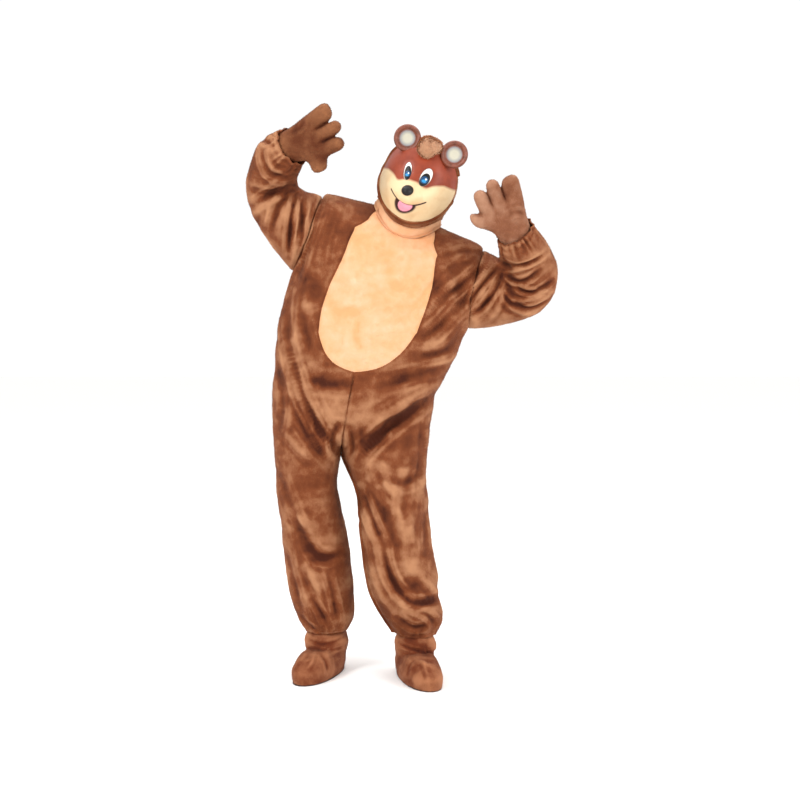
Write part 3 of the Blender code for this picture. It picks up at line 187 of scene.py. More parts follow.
# %% Crease tables
Crease = namedtuple("Crease", "x0 z0 x1 z1 x2 z2 width depth")
FRONT_CREASES = [
    # Body: from both sides of the waist to the crotch, and across the chest
    Crease(-0.356, -0.392, -0.306, -0.553, -0.225, -0.694, 0.022, -0.016),
    Crease(-0.296, -0.495, -0.263, -0.571, -0.232, -0.634, 0.016, -0.007),
    Crease(0.083, -0.534, -0.046, -0.616, -0.150, -0.722, 0.024, -0.016),
    Crease(0.089, -0.504, -0.028, -0.565, -0.107, -0.614, 0.026, 0.009),
    Crease(-0.107, -0.755, -0.022, -0.789, 0.056, -0.761, 0.022, -0.007),
    Crease(-0.209, -0.614, -0.227, -0.668, -0.207, -0.728, 0.014, -0.010),
    Crease(-0.174, -0.627, -0.169, -0.681, -0.182, -0.726, 0.014, -0.008),
    Crease(0.207, -0.131, 0.117, -0.204, 0.038, -0.306, 0.026, 0.008),
    Crease(0.105, -0.110, 0.161, -0.089, 0.217, -0.088, 0.020, -0.008),
    Crease(0.200, -0.216, 0.120, -0.297, 0.044, -0.366, 0.022, -0.010),
    Crease(0.179, -0.307, 0.118, -0.392, 0.014, -0.396, 0.022, -0.009),
    Crease(0.133, -0.444, 0.038, -0.463, -0.070, -0.491, 0.024, -0.009),
    Crease(0.102, -0.500, 0.008, -0.516, -0.082, -0.533, 0.022, 0.005),
    Crease(-0.261, 0.065, -0.301, -0.059, -0.347, -0.186, 0.018, -0.010),
    Crease(-0.353, -0.195, -0.366, -0.301, -0.356, -0.398, 0.020, -0.009),
    Crease(-0.223, 0.051, -0.258, -0.059, -0.269, -0.150, 0.022, 0.007),
    Crease(-0.324, -0.240, -0.308, -0.330, -0.286, -0.396, 0.022, -0.006),
    Crease(-0.324, -0.457, -0.232, -0.491, -0.142, -0.479, 0.026, -0.006),
    Crease(-0.404, -0.425, -0.386, -0.546, -0.405, -0.673, 0.020, -0.008),
    Crease(0.247, -0.125, 0.167, -0.192, 0.099, -0.240, 0.018, -0.009),
    # Right leg
    Crease(-0.338, -0.586, -0.289, -0.659, -0.231, -0.738, 0.020, -0.009),
    Crease(-0.377, -0.638, -0.325, -0.688, -0.272, -0.745, 0.020, 0.006),
    Crease(-0.393, -0.783, -0.353, -0.882, -0.311, -0.995, 0.022, -0.009),
    Crease(-0.308, -0.976, -0.268, -1.026, -0.213, -1.016, 0.020, -0.010),
    Crease(-0.376, -1.022, -0.354, -1.120, -0.318, -1.240, 0.020, -0.010),
    Crease(-0.293, -1.157, -0.268, -1.199, -0.245, -1.249, 0.012, -0.008),
    Crease(-0.243, -1.080, -0.226, -1.161, -0.211, -1.239, 0.013, -0.008),
    Crease(-0.340, -1.218, -0.311, -1.245, -0.280, -1.266, 0.012, -0.008),
    Crease(-0.320, -1.038, -0.286, -1.098, -0.262, -1.174, 0.018, 0.006),
    Crease(-0.366, -0.853, -0.328, -0.912, -0.261, -0.925, 0.022, 0.005),
    # Left leg
    Crease(-0.138, -0.827, -0.113, -0.895, -0.070, -0.982, 0.018, -0.013),
    Crease(-0.073, -0.979, -0.052, -1.074, -0.004, -1.142, 0.018, -0.016),
    Crease(-0.010, -1.142, 0.033, -1.160, 0.092, -1.159, 0.016, -0.013),
    Crease(-0.107, -1.030, -0.083, -1.122, -0.028, -1.210, 0.020, 0.006),
    Crease(0.039, -1.076, 0.076, -1.121, 0.102, -1.174, 0.016, 0.007),
    Crease(-0.028, -1.203, 0.018, -1.238, 0.061, -1.230, 0.013, -0.008),
    Crease(-0.001, -1.167, 0.064, -1.203, 0.089, -1.251, 0.013, -0.008),
    Crease(0.061, -0.609, 0.055, -0.735, 0.042, -0.847, 0.014, 0.007),
    Crease(0.021, -0.758, -0.007, -0.841, 0.002, -0.930, 0.024, -0.007),
    Crease(0.067, -0.870, 0.057, -0.941, 0.063, -1.019, 0.016, -0.007),
    Crease(-0.095, -0.754, -0.070, -0.811, -0.022, -0.857, 0.020, -0.007),
    # Right sleeve: folds fan out from the crook of the arm
    Crease(-0.432, 0.205, -0.409, 0.135, -0.335, 0.135, 0.013, -0.012),
    Crease(-0.335, 0.117, -0.394, 0.089, -0.470, 0.045, 0.016, -0.012),
    Crease(-0.338, 0.104, -0.389, 0.044, -0.416, -0.046, 0.016, -0.010),
    Crease(-0.340, 0.085, -0.352, -0.004, -0.365, -0.112, 0.012, -0.014),
    Crease(-0.327, 0.076, -0.317, -0.004, -0.333, -0.089, 0.012, -0.009),
    Crease(-0.299, 0.084, -0.302, 0.018, -0.323, -0.059, 0.012, 0.006),
    Crease(-0.478, 0.260, -0.427, 0.236, -0.394, 0.208, 0.012, -0.007),
    Crease(-0.487, 0.117, -0.414, 0.099, -0.352, 0.122, 0.013, 0.006),
    Crease(-0.442, 0.021, -0.471, -0.031, -0.447, -0.087, 0.014, -0.007),
    Crease(-0.407, 0.174, -0.396, 0.151, -0.367, 0.140, 0.010, 0.006),
    # Left sleeve: zigzag folds with sharp crests across the forearm, and a fan below the crook
    Crease(0.284, -0.122, 0.340, -0.138, 0.416, -0.096, 0.008, -0.010),
    Crease(0.292, -0.155, 0.346, -0.147, 0.423, -0.108, 0.008, 0.006),
    Crease(0.309, -0.168, 0.348, -0.183, 0.402, -0.147, 0.010, -0.013),
    Crease(0.295, -0.171, 0.338, -0.198, 0.422, -0.213, 0.008, 0.008),
    Crease(0.329, -0.192, 0.374, -0.216, 0.444, -0.177, 0.009, -0.014),
    Crease(0.295, -0.192, 0.328, -0.240, 0.412, -0.225, 0.009, 0.008),
    Crease(0.334, -0.249, 0.383, -0.268, 0.447, -0.228, 0.010, -0.013),
    Crease(0.291, -0.213, 0.310, -0.259, 0.391, -0.290, 0.010, 0.007),
    Crease(0.286, -0.171, 0.249, -0.237, 0.204, -0.283, 0.011, -0.014),
    Crease(0.291, -0.204, 0.279, -0.259, 0.248, -0.308, 0.010, 0.006),
    Crease(0.274, -0.143, 0.228, -0.195, 0.185, -0.250, 0.010, -0.010),
    Crease(0.250, -0.125, 0.203, -0.210, 0.173, -0.277, 0.010, 0.006),
    # Belly panel: only shallow dents, because its short pile is stiffer
    Crease(-0.163, -0.096, -0.175, -0.168, -0.106, -0.207, 0.030, 0.004),
    Crease(-0.040, -0.123, -0.049, -0.183, 0.008, -0.210, 0.024, -0.004),
    Crease(-0.136, -0.293, -0.151, -0.353, -0.124, -0.395, 0.022, -0.004),
    Crease(-0.232, -0.240, -0.187, -0.276, -0.106, -0.258, 0.030, -0.004),
]
BACK_CREASES = [
    Crease(-0.240, 0.010, -0.205, -0.110, -0.230, -0.240, 0.024, -0.008),
    Crease(0.170, -0.110, 0.110, -0.190, 0.095, -0.300, 0.024, -0.009),
    Crease(-0.180, -0.230, -0.090, -0.262, 0.020, -0.245, 0.030, -0.006),
    Crease(-0.330, -0.330, -0.240, -0.395, -0.120, -0.405, 0.024, -0.009),
    Crease(0.130, -0.350, 0.060, -0.420, -0.040, -0.450, 0.024, -0.009),
    Crease(-0.380, -0.470, -0.330, -0.590, -0.230, -0.700, 0.024, -0.013),
    Crease(0.090, -0.500, 0.000, -0.610, -0.140, -0.710, 0.024, -0.013),
    Crease(-0.300, -0.460, -0.210, -0.520, -0.120, -0.500, 0.026, -0.006),
    Crease(-0.395, -0.690, -0.330, -0.740, -0.250, -0.740, 0.020, -0.008),
    Crease(0.050, -0.700, -0.020, -0.760, -0.110, -0.770, 0.020, -0.009),
    Crease(-0.390, -0.840, -0.330, -0.905, -0.240, -0.915, 0.018, -0.011),
    Crease(-0.380, -0.940, -0.310, -0.975, -0.235, -0.960, 0.018, -0.009),
    Crease(-0.370, -1.020, -0.330, -1.110, -0.260, -1.190, 0.018, -0.009),
    Crease(-0.310, -1.120, -0.285, -1.190, -0.290, -1.250, 0.013, -0.008),
    Crease(0.060, -0.880, 0.010, -0.940, -0.090, -0.930, 0.018, -0.011),
    Crease(0.070, -0.990, 0.000, -1.030, -0.100, -1.000, 0.018, -0.009),
    Crease(-0.100, -1.050, -0.040, -1.130, 0.060, -1.150, 0.018, -0.010),
    Crease(0.030, -1.150, 0.045, -1.200, 0.040, -1.250, 0.013, -0.008),
    Crease(-0.330, 0.110, -0.400, 0.080, -0.470, 0.060, 0.015, -0.010),
    Crease(-0.320, 0.060, -0.370, -0.020, -0.380, -0.110, 0.016, -0.010),
    Crease(-0.430, 0.190, -0.395, 0.150, -0.345, 0.150, 0.013, -0.009),
    Crease(0.290, -0.120, 0.370, -0.160, 0.450, -0.120, 0.015, -0.010),
    Crease(0.290, -0.150, 0.350, -0.240, 0.430, -0.260, 0.015, -0.010),
    Crease(0.270, -0.120, 0.220, -0.200, 0.200, -0.290, 0.015, -0.010),
]
print("creases:", len(FRONT_CREASES), "in front,", len(BACK_CREASES), "behind")

# %% [markdown]
# The creases are moved into the skin along its normals. Numpy does this for all points at once, which is
# much faster than a loop over vertices. Cloth also has a slow unevenness that no table would list, so a few
# crossed waves, which never repeat exactly, are added on top.

# %% Work the creases in
STEPS = 24
LIP = 0.3                   # height of the lips beside a crease, as a share of its depth
WAVER = 1.2 * MM            # slow unevenness of the cloth


def drift(points, size, turn):
    """Smooth waves in all directions, between about -1 and 1, with the given wavelength."""
    total = np.zeros(len(points))
    for k in range(5):
        a, b = turn + 2.4 * k, 0.7 * turn + 1.7 * k
        way = np.array((math.cos(a) * math.cos(b), math.sin(a) * math.cos(b), math.sin(b)))
        total += np.sin(points @ way * (2 * math.pi / size) * (1 + 0.17 * k) + 5.1 * k + turn)
    return total / 2.6


def crease_lift(points, normals, creases, facing):
    """How far the creases raise each point; facing is -1 for the front and 1 for the back."""
    lift = np.zeros(len(points))
    shown = np.clip(0.3 + facing * normals[:, 1] / 0.4, 0, 1)
    flat = points[:, [0, 2]]
    t = np.linspace(0, 1, STEPS + 1)[:, None]
    for row in creases:
        start, through, end = np.array(row[:6]).reshape(3, 2)
        bend = 2 * through - (start + end) / 2
        line = (1 - t) ** 2 * start + 2 * t * (1 - t) * bend + t ** 2 * end
        reach = 2 * row.width
        near = np.all((flat > line.min(axis=0) - reach) & (flat < line.max(axis=0) + reach), axis=1) \
            & (shown > 0)
        gaps = np.linalg.norm(flat[near][:, None] - line[None], axis=2)
        along = gaps.argmin(axis=1) / STEPS
        gap = gaps.min(axis=1) / row.width
        profile = np.where(gap < 1, np.cos(math.pi / 2 * np.minimum(gap, 1)) ** 2,
                           -LIP * np.sin(math.pi * np.clip(gap - 1, 0, 1)) ** 2)
        taper = np.sin(math.pi * np.clip(along, 0.03, 0.97)) ** 0.6 * (0.85 + 0.15 * np.cos(9 * along))
        lift[near] += row.depth * profile * taper * shown[near]
    return lift


def read_points(mesh):
    """The points and normals of a mesh, as arrays."""
    count = len(mesh.vertices)
    points, normals = np.empty(count * 3), np.empty(count * 3)
    mesh.vertices.foreach_get("co", points)
    mesh.vertex_normals.foreach_get("vector", normals)
    return points.reshape(-1, 3), normals.reshape(-1, 3)


def write_points(mesh, points):
    """Moves the points of a mesh."""
    mesh.vertices.foreach_set("co", points.ravel())
    mesh.update()


def crumpled(mesh, front, back, waver=WAVER):
    """Moves creases and a slow unevenness into a mesh."""
    points, normals = read_points(mesh)
    lift = crease_lift(points, normals, front, -1) + crease_lift(points, normals, back, 1)
    lift += waver * drift(points, 0.13, 1.0) + 0.4 * waver * drift(points, 0.05, 2.0)
    write_points(mesh, points + normals * lift[:, None])


crumpled(suit_skin, FRONT_CREASES, BACK_CREASES)
print("suit creased")

# %% [markdown]
# A seam in plush shows as a narrow valley, because the pile of both panels closes over the stitches. The
# points on a seam are those whose faces belong to different panels. A tree of those points gives every
# other point its distance to the nearest seam, and the skin sinks close to it.

# %% Sink the seams
SEAM_DEPTH = 1.7 * MM
SEAM_HALF = 6 * MM


def seam_points(mesh):
    """Whether each point of the skin lies on a seam between two panels."""
    panel = np.empty(len(mesh.polygons), dtype=np.int32)
    mesh.attributes["panel"].data.foreach_get("value", panel)
    loops = np.empty(len(mesh.loops), dtype=np.int32)
    mesh.loops.foreach_get("vertex_index", loops)
    totals = np.empty(len(mesh.polygons), dtype=np.int32)
    mesh.polygons.foreach_get("loop_total", totals)
    owner = np.repeat(panel, totals)
    low = np.full(len(mesh.vertices), len(SUIT), dtype=np.int32)
    high = np.full(len(mesh.vertices), -1, dtype=np.int32)
    np.minimum.at(low, loops, owner)
    np.maximum.at(high, loops, owner)
    return low != high


def distance_to(targets, points):
    """The distance of every point from the nearest target."""
    tree = kdtree.KDTree(len(targets))
    for index, target in enumerate(targets):
        tree.insert(target, index)
    tree.balance()
    return np.array([tree.find(point)[2] for point in points])


suit_points, suit_normals = read_points(suit_skin)
to_seam = distance_to(suit_points[seam_points(suit_skin)], suit_points)
valley = SEAM_DEPTH * np.exp(-(to_seam / SEAM_HALF) ** 2)
write_points(suit_skin, suit_points - suit_normals * valley[:, None])
print("seams sunk:", int((to_seam == 0).sum()), "points lie on them")

# %% [markdown]
# Elastic in the hems and cuffs draws the cloth into small gathers. They run away from the elastic and fade
# out, so each is a wave around the limb whose height falls off with the distance from the elastic. The
# elastic itself is a groove. Below its elastic a trouser leg folds up under itself into a soft round lip,
# and the end of a sleeve closes in round the wrist.

# %% Gather the hems and cuffs
Elastic = namedtuple("Elastic", "x y z ax ay az waves height reach")
ELASTICS = [
    Elastic(-0.253, -0.020, -1.270, 0.00, 0.00, 1.00, 15, 0.0010, 0.030),
    Elastic(0.028, -0.060, -1.272, 0.00, 0.00, 1.00, 14, 0.0010, 0.030),
    Elastic(-0.351, -0.160, 0.212, 0.50, -0.72, 0.40, 15, 0.0020, 0.028),
    Elastic(0.325, -0.160, -0.048, -0.46, -0.62, 0.58, 16, 0.0024, 0.028),
]
GROOVE = 2.0 * MM
LIMB = 0.12                 # nothing farther than this from an elastic's middle belongs to it


def gathered(points, elastics):
    """How far the gathers raise each point."""
    lift = np.zeros(len(points))
    for row in elastics:
        axis = np.array((row.ax, row.ay, row.az))
        axis /= np.linalg.norm(axis)
        side = np.cross(axis, (0, 1, 0))
        side /= np.linalg.norm(side)
        offset = points - np.array((row.x, row.y, row.z))
        along = offset @ axis
        radius = np.linalg.norm(offset - along[:, None] * axis, axis=1)
        angle = np.arctan2(offset @ side, offset @ np.cross(axis, side))
        near = (radius < LIMB) & (np.abs(along) < 3 * row.reach)
        wave = np.cos(row.waves * angle + 1.5 * np.sin(3 * angle) + 0.9 * np.sin(7 * angle + 1) + 40 * along)
        fade = np.exp(-(along / row.reach) ** 2)
        groove = GROOVE * np.exp(-(along / (6 * MM)) ** 2)
        lift += np.where(near, row.height * wave * fade - groove, 0)
    return lift


TUCK = 17 * MM              # how far below its elastic a trouser hem goes on
TUCK_IN = 8 * MM            # how far its end goes in
TUCK_UP = 9 * MM            # and up into the leg
LIP_DROP = 4 * MM
CUFF_IN = 9 * MM            # how far a sleeve's end is drawn in round the wrist
CUFF_END = 16 * MM
CUFF_REACH = (0.09, 0.06)   # across and along: what is farther from a cuff's middle stays as it is


def tucked(points, elastics):
    """The points with what is below an elastic folded up into the leg, which then ends in a lip."""
    points = points.copy()
    for row in elastics:
        out = points[:, :2] - (row.x, row.y)
        radius = np.linalg.norm(out, axis=1)
        t = np.clip((row.z - points[:, 2]) / TUCK, 0, 1) * (radius < LIMB)
        shrink = 1 - TUCK_IN * t * (2 - t) / np.maximum(radius, 1 * MM)
        points[:, :2] = (row.x, row.y) + out * shrink[:, None]
        points[:, 2] += (TUCK * t) + TUCK_UP * t ** 2 - LIP_DROP * np.sin(math.pi * t)
    return points


def drawn_in(points, elastics):
    """The points with each cuff's end drawn in towards the wrist."""
    points = points.copy()
    for row in elastics:
        axis = np.array((row.ax, row.ay, row.az))
        axis /= np.linalg.norm(axis)
        offset = points - np.array((row.x, row.y, row.z))
        along = offset @ axis
        spoke = offset - along[:, None] * axis
        radius = np.linalg.norm(spoke, axis=1)
        t = np.clip(along / CUFF_END, 0, 1) * (radius < CUFF_REACH[0]) * (along < CUFF_REACH[1])
        points -= spoke * (CUFF_IN * t ** 2 / np.maximum(radius, 1 * MM))[:, None]
    return points


suit_points, suit_normals = read_points(suit_skin)
suit_points += suit_normals * gathered(suit_points, ELASTICS)[:, None]
write_points(suit_skin, drawn_in(tucked(suit_points, ELASTICS[:2]), ELASTICS[2:]))
print("gathers at", len(ELASTICS), "elastics")

# %% [markdown]
# Ridges of the pile are painted lighter, a painted highlight where they catch the light, and troughs are
# painted darker, a painted shade. So each point stores how far it stands above its smoothed surroundings, as
# the fold attribute. It also stores "nap", the direction in which the pile lies: down the body and along the
# sleeves to the cuffs, swirled a little as if stroked. At the frills of the cuffs the fold attribute is
# raised, so their gathers get less painted shade and come out lighter.

# %% Store fold and nap on a skin
SMOOTH_ROUNDS = 60
FOLD_FULL = 4.2 * MM
NAP_SWIRL = 0.35
LINE_REACH = 0.07
FRILL_REACH = 0.062
FRILL_LIGHT = 0.6
SLEEVE_LINES = {
    "sleeve_right": [(-0.26, 0.0, -0.08), (-0.40, -0.02, 0.06), (-0.41, -0.06, 0.15),
                     (-0.345, -0.165, 0.215)],
    "sleeve_left": [(0.22, 0.0, -0.21), (0.33, -0.03, -0.21), (0.375, -0.06, -0.14),
                    (0.32, -0.165, -0.04)],
}


def relief(mesh, points, normals):
    """How far each point stands above its smoothed surroundings."""
    ends = np.empty(len(mesh.edges) * 2, dtype=np.int32)
    mesh.edges.foreach_get("vertices", ends)
    first, second = ends[::2], ends[1::2]
    count = len(points)
    links = np.bincount(first, minlength=count) + np.bincount(second, minlength=count)
    smooth = points.copy()
    for _ in range(SMOOTH_ROUNDS):
        for axis in range(3):
            total = np.bincount(first, smooth[second, axis], count) \
                + np.bincount(second, smooth[first, axis], count)
            smooth[:, axis] += 0.5 * (total / np.maximum(links, 1) - smooth[:, axis])
    return ((points - smooth) * normals).sum(axis=1)


def along_line(points, line):
    """The direction of the nearest stretch of a line, for each point."""
    line = np.array(line)
    middles = (line[1:] + line[:-1]) / 2
    ways = np.diff(line, axis=0)
    ways /= np.linalg.norm(ways, axis=1)[:, None]
    gaps = np.linalg.norm(points[:, None] - middles[None], axis=2)
    weights = np.exp(-(gaps / LINE_REACH) ** 2) + 1e-9
    return weights @ ways / weights.sum(axis=1)[:, None]


def store(mesh, name, values, kind):
    """Keeps values on the points of a mesh as a named attribute."""
    attribute = mesh.attributes.new(name, kind, "POINT")
    attribute.data.foreach_set("vector" if kind == "FLOAT_VECTOR" else "value", np.asarray(values).ravel())


def dress_skin(mesh, ways, contrast=1.0, lighter=0.0):
    """Stores fold, for painted highlight and shade, and nap on a mesh; ways is the direction in which each
    point's pile is brushed.
    """
    points, normals = read_points(mesh)
    fold_shading = np.clip(relief(mesh, points, normals) / FOLD_FULL, -1, 1)
    store(mesh, "fold_shading", contrast * fold_shading + lighter, "FLOAT")
    swirl = np.cross(normals, ways) * (NAP_SWIRL * drift(points, 0.21, 3.0))[:, None]
    ways = ways + swirl
    ways = ways - normals * (ways * normals).sum(axis=1)[:, None]
    ways /= np.maximum(np.linalg.norm(ways, axis=1), 1e-6)[:, None]
    store(mesh, "nap", ways, "FLOAT_VECTOR")


suit_points, suit_normals = read_points(suit_skin)
brushed = np.tile((0.0, 0.0, -1.0), (len(suit_points), 1))
for sleeve, line in SLEEVE_LINES.items():
    number = SUIT.index(sleeve)
    mask = np.zeros(len(suit_points), dtype=bool)
    for polygon in suit_skin.polygons:
        if suit_skin.attributes["panel"].data[polygon.index].value == number:
            mask[list(polygon.vertices)] = True
    brushed[mask] = along_line(suit_points[mask], line)
# the frills raise the fold attribute, so their gathers get less painted shade and come out lighter
frills = sum(np.exp(-(np.linalg.norm((suit_points - (row.x, row.y, row.z)), axis=1) / FRILL_REACH) ** 8)
             for row in ELASTICS[2:])
dress_skin(suit_skin, brushed, 1.0, FRILL_LIGHT * frills)
print("fold and nap stored on", len(suit_points), "points")

# %% [markdown]
# Colours were tuned until the render's tones came near the photo's, and are written as sRGB hex
# values. Blender wants linear light, so one function converts them. One more small helper adds a node to a
# tree: it takes the node's settings and its input values, and a value that is a socket becomes a link.

# %% Colour and node helpers
def colour(code):
    """A hex sRGB colour as linear red, green, blue and alpha."""
    parts = [int(code[i:i + 2], 16) / 255 for i in (1, 3, 5)]
    return [p / 12.92 if p <= 0.04045 else ((p + 0.055) / 1.055) ** 2.4 for p in parts] + [1.0]


def add_node(tree, kind, values=None, **settings):
    """A node with its settings; values are input sockets by name or number, a socket makes a link."""
    node = tree.nodes.new(kind)
    for name, value in settings.items():
        setattr(node, name, value)
    for socket, value in (values or {}).items():
        if isinstance(value, bpy.types.NodeSocket):
            tree.links.new(value, node.inputs[socket])
        else:
            node.inputs[socket].default_value = value
    return node


def new_material(name):
    """An empty material with its shader, as the material, its tree and the shader node."""
    made = bpy.data.materials.new(name)
    made.use_nodes = True
    return made, made.node_tree, made.node_tree.nodes["Principled BSDF"]


# %% [markdown]
# Plush is one material with different tones. Large soft noise makes brushed patches, finer noise makes
# clumps, and the finest is the grain of single fibres. The fold attribute paints ridges lighter and troughs
# darker, as painted highlight and painted shade. Every blade of pile carries "tip", 0 at its root and 1 at
# its tip, and "shade", a random number. The roots are painted darker than the tips, and the cloth under the
# pile has neither, so it stays as dark as the roots: painted shade under the pile. Sheen gives the pale rim
# of velvet.
# The three noises are about 90, 18 and 1 mm wide. Real fibres of polyester plush are far finer than the
# last, which is as fine as the picture can show.

# %% Plush material
Plush = namedtuple("Plush", "name dark middle light sheen_tint sheen patch bump")
FINISHES = [
    Plush("brown_plush", "#431806", "#783D1E", "#B17D59", "#DCA47C", 0.14, 1.0, 0.9),
    Plush("peach_plush", "#DC9F6E", "#E4B592", "#EDCFB8", "#FFE0C4", 0.08, 0.55, 0.7),
    # a darker copy of the mitt plush: painted shade for the right mitt
    Plush("shaded_mitt_plush", "#3A1405", "#5E2D14", "#8A5737", "#D69A74", 0.14, 1.2, 0.9),
    Plush("mitt_plush", "#552712", "#835036", "#AE8065", "#DCAC90", 0.14, 1.2, 0.9),
    Plush("thin_plush", "#401304", "#6A2F14", "#A36A48", "#E0A580", 0.24, 1.2, 0.6),
    Plush("tan_pile", "#B8825C", "#D6A581", "#E6C4A6", "#E8CDB6", 0.10, 0.7, 0.7),
]


def plush_material(finish):
    """Plush in three tones, for cloth and pile alike."""
    made, tree, shader = new_material(finish.name)
    place = add_node(tree, "ShaderNodeTexCoord").outputs["Object"]
    patches = add_node(tree, "ShaderNodeTexNoise", {"Vector": place, "Scale": 11.0, "Detail": 2.0})
    clumps = add_node(tree, "ShaderNodeTexNoise", {"Vector": place, "Scale": 55.0, "Detail": 4.0})
    fibres = add_node(tree, "ShaderNodeTexNoise", {"Vector": place, "Scale": 900.0, "Detail": 2.0})
    # the fold attribute paints ridges lighter and troughs darker: painted highlight and painted shade
    fold_shading = add_node(tree, "ShaderNodeAttribute", attribute_name="fold_shading").outputs["Fac"]
    # tip paints the roots darker than the tips, and the bare cloth as dark as the roots: painted shade under
    # the pile
    tip = add_node(tree, "ShaderNodeAttribute", attribute_name="tip").outputs["Fac"]
    shade = add_node(tree, "ShaderNodeAttribute", attribute_name="shade").outputs["Fac"]
    tone = 0.30
    for source, amount in ((patches.outputs["Fac"], 0.95 * finish.patch), (clumps.outputs["Fac"], 0.35),
                           (fibres.outputs["Fac"], 0.10), (fold_shading, 0.34), (tip, 0.12), (shade, 0.10)):
        tone = add_node(tree, "ShaderNodeMath", {0: source, 1: amount, 2: tone},
                        operation="MULTIPLY_ADD").outputs[0]
    tone = add_node(tree, "ShaderNodeMath", {0: tone, 1: 0.55}, operation="SUBTRACT").outputs[0]
    ramp = add_node(tree, "ShaderNodeValToRGB", {"Fac": tone})
    ramp.color_ramp.elements[0].position = 0.12
    ramp.color_ramp.elements[0].color = colour(finish.dark)
    ramp.color_ramp.elements[1].position = 0.88
    ramp.color_ramp.elements[1].color = colour(finish.light)
    ramp.color_ramp.elements.new(0.50).color = colour(finish.middle)
    tree.links.new(ramp.outputs["Color"], shader.inputs["Base Color"])
    rough = add_node(tree, "ShaderNodeMapRange",
                     {"Value": clumps.outputs["Fac"], "To Min": 0.72, "To Max": 0.9})
    tree.links.new(rough.outputs["Result"], shader.inputs["Roughness"])
    grain = add_node(tree, "ShaderNodeMath", {0: clumps.outputs["Fac"], 1: 1.4, 2: fibres.outputs["Fac"]},
                     operation="MULTIPLY_ADD").outputs[0]
    bump = add_node(tree, "ShaderNodeBump", {"Height": grain, "Strength": finish.bump, "Distance": 1.6 * MM})
    tree.links.new(bump.outputs["Normal"], shader.inputs["Normal"])
    shader.inputs["Sheen Weight"].default_value = finish.sheen
    shader.inputs["Sheen Roughness"].default_value = 0.42
    shader.inputs["Sheen Tint"].default_value = colour(finish.sheen_tint)
    shader.inputs["Specular IOR Level"].default_value = 0.2
    return made


PLUSH = {finish.name: plush_material(finish) for finish in FINISHES}
print("plush finishes:", ", ".join(PLUSH))

# %% [markdown]
# Pile is made by Geometry Nodes. Points are scattered over a panel, and on each stands one blade, a thin
# triangle that leans along the nap. The tree has named inputs for its sizes, and a fixed seed, so each run
# gives the same pile. It ends in real triangles with their material, because an export drops instances.
# A real fibre is too thin to show, so each blade stands for a small lock of them, about a millimetre wide.

# %% Pile tree
PILE_INPUTS = [("Density", "NodeSocketFloat", 60000.0), ("Length", "NodeSocketFloat", 0.006),
               ("Width", "NodeSocketFloat", 0.0013), ("Lift", "NodeSocketFloat", 0.45),
               ("Spread", "NodeSocketFloat", 0.5), ("Seed", "NodeSocketInt", 1),
               ("Material", "NodeSocketMaterial", None)]


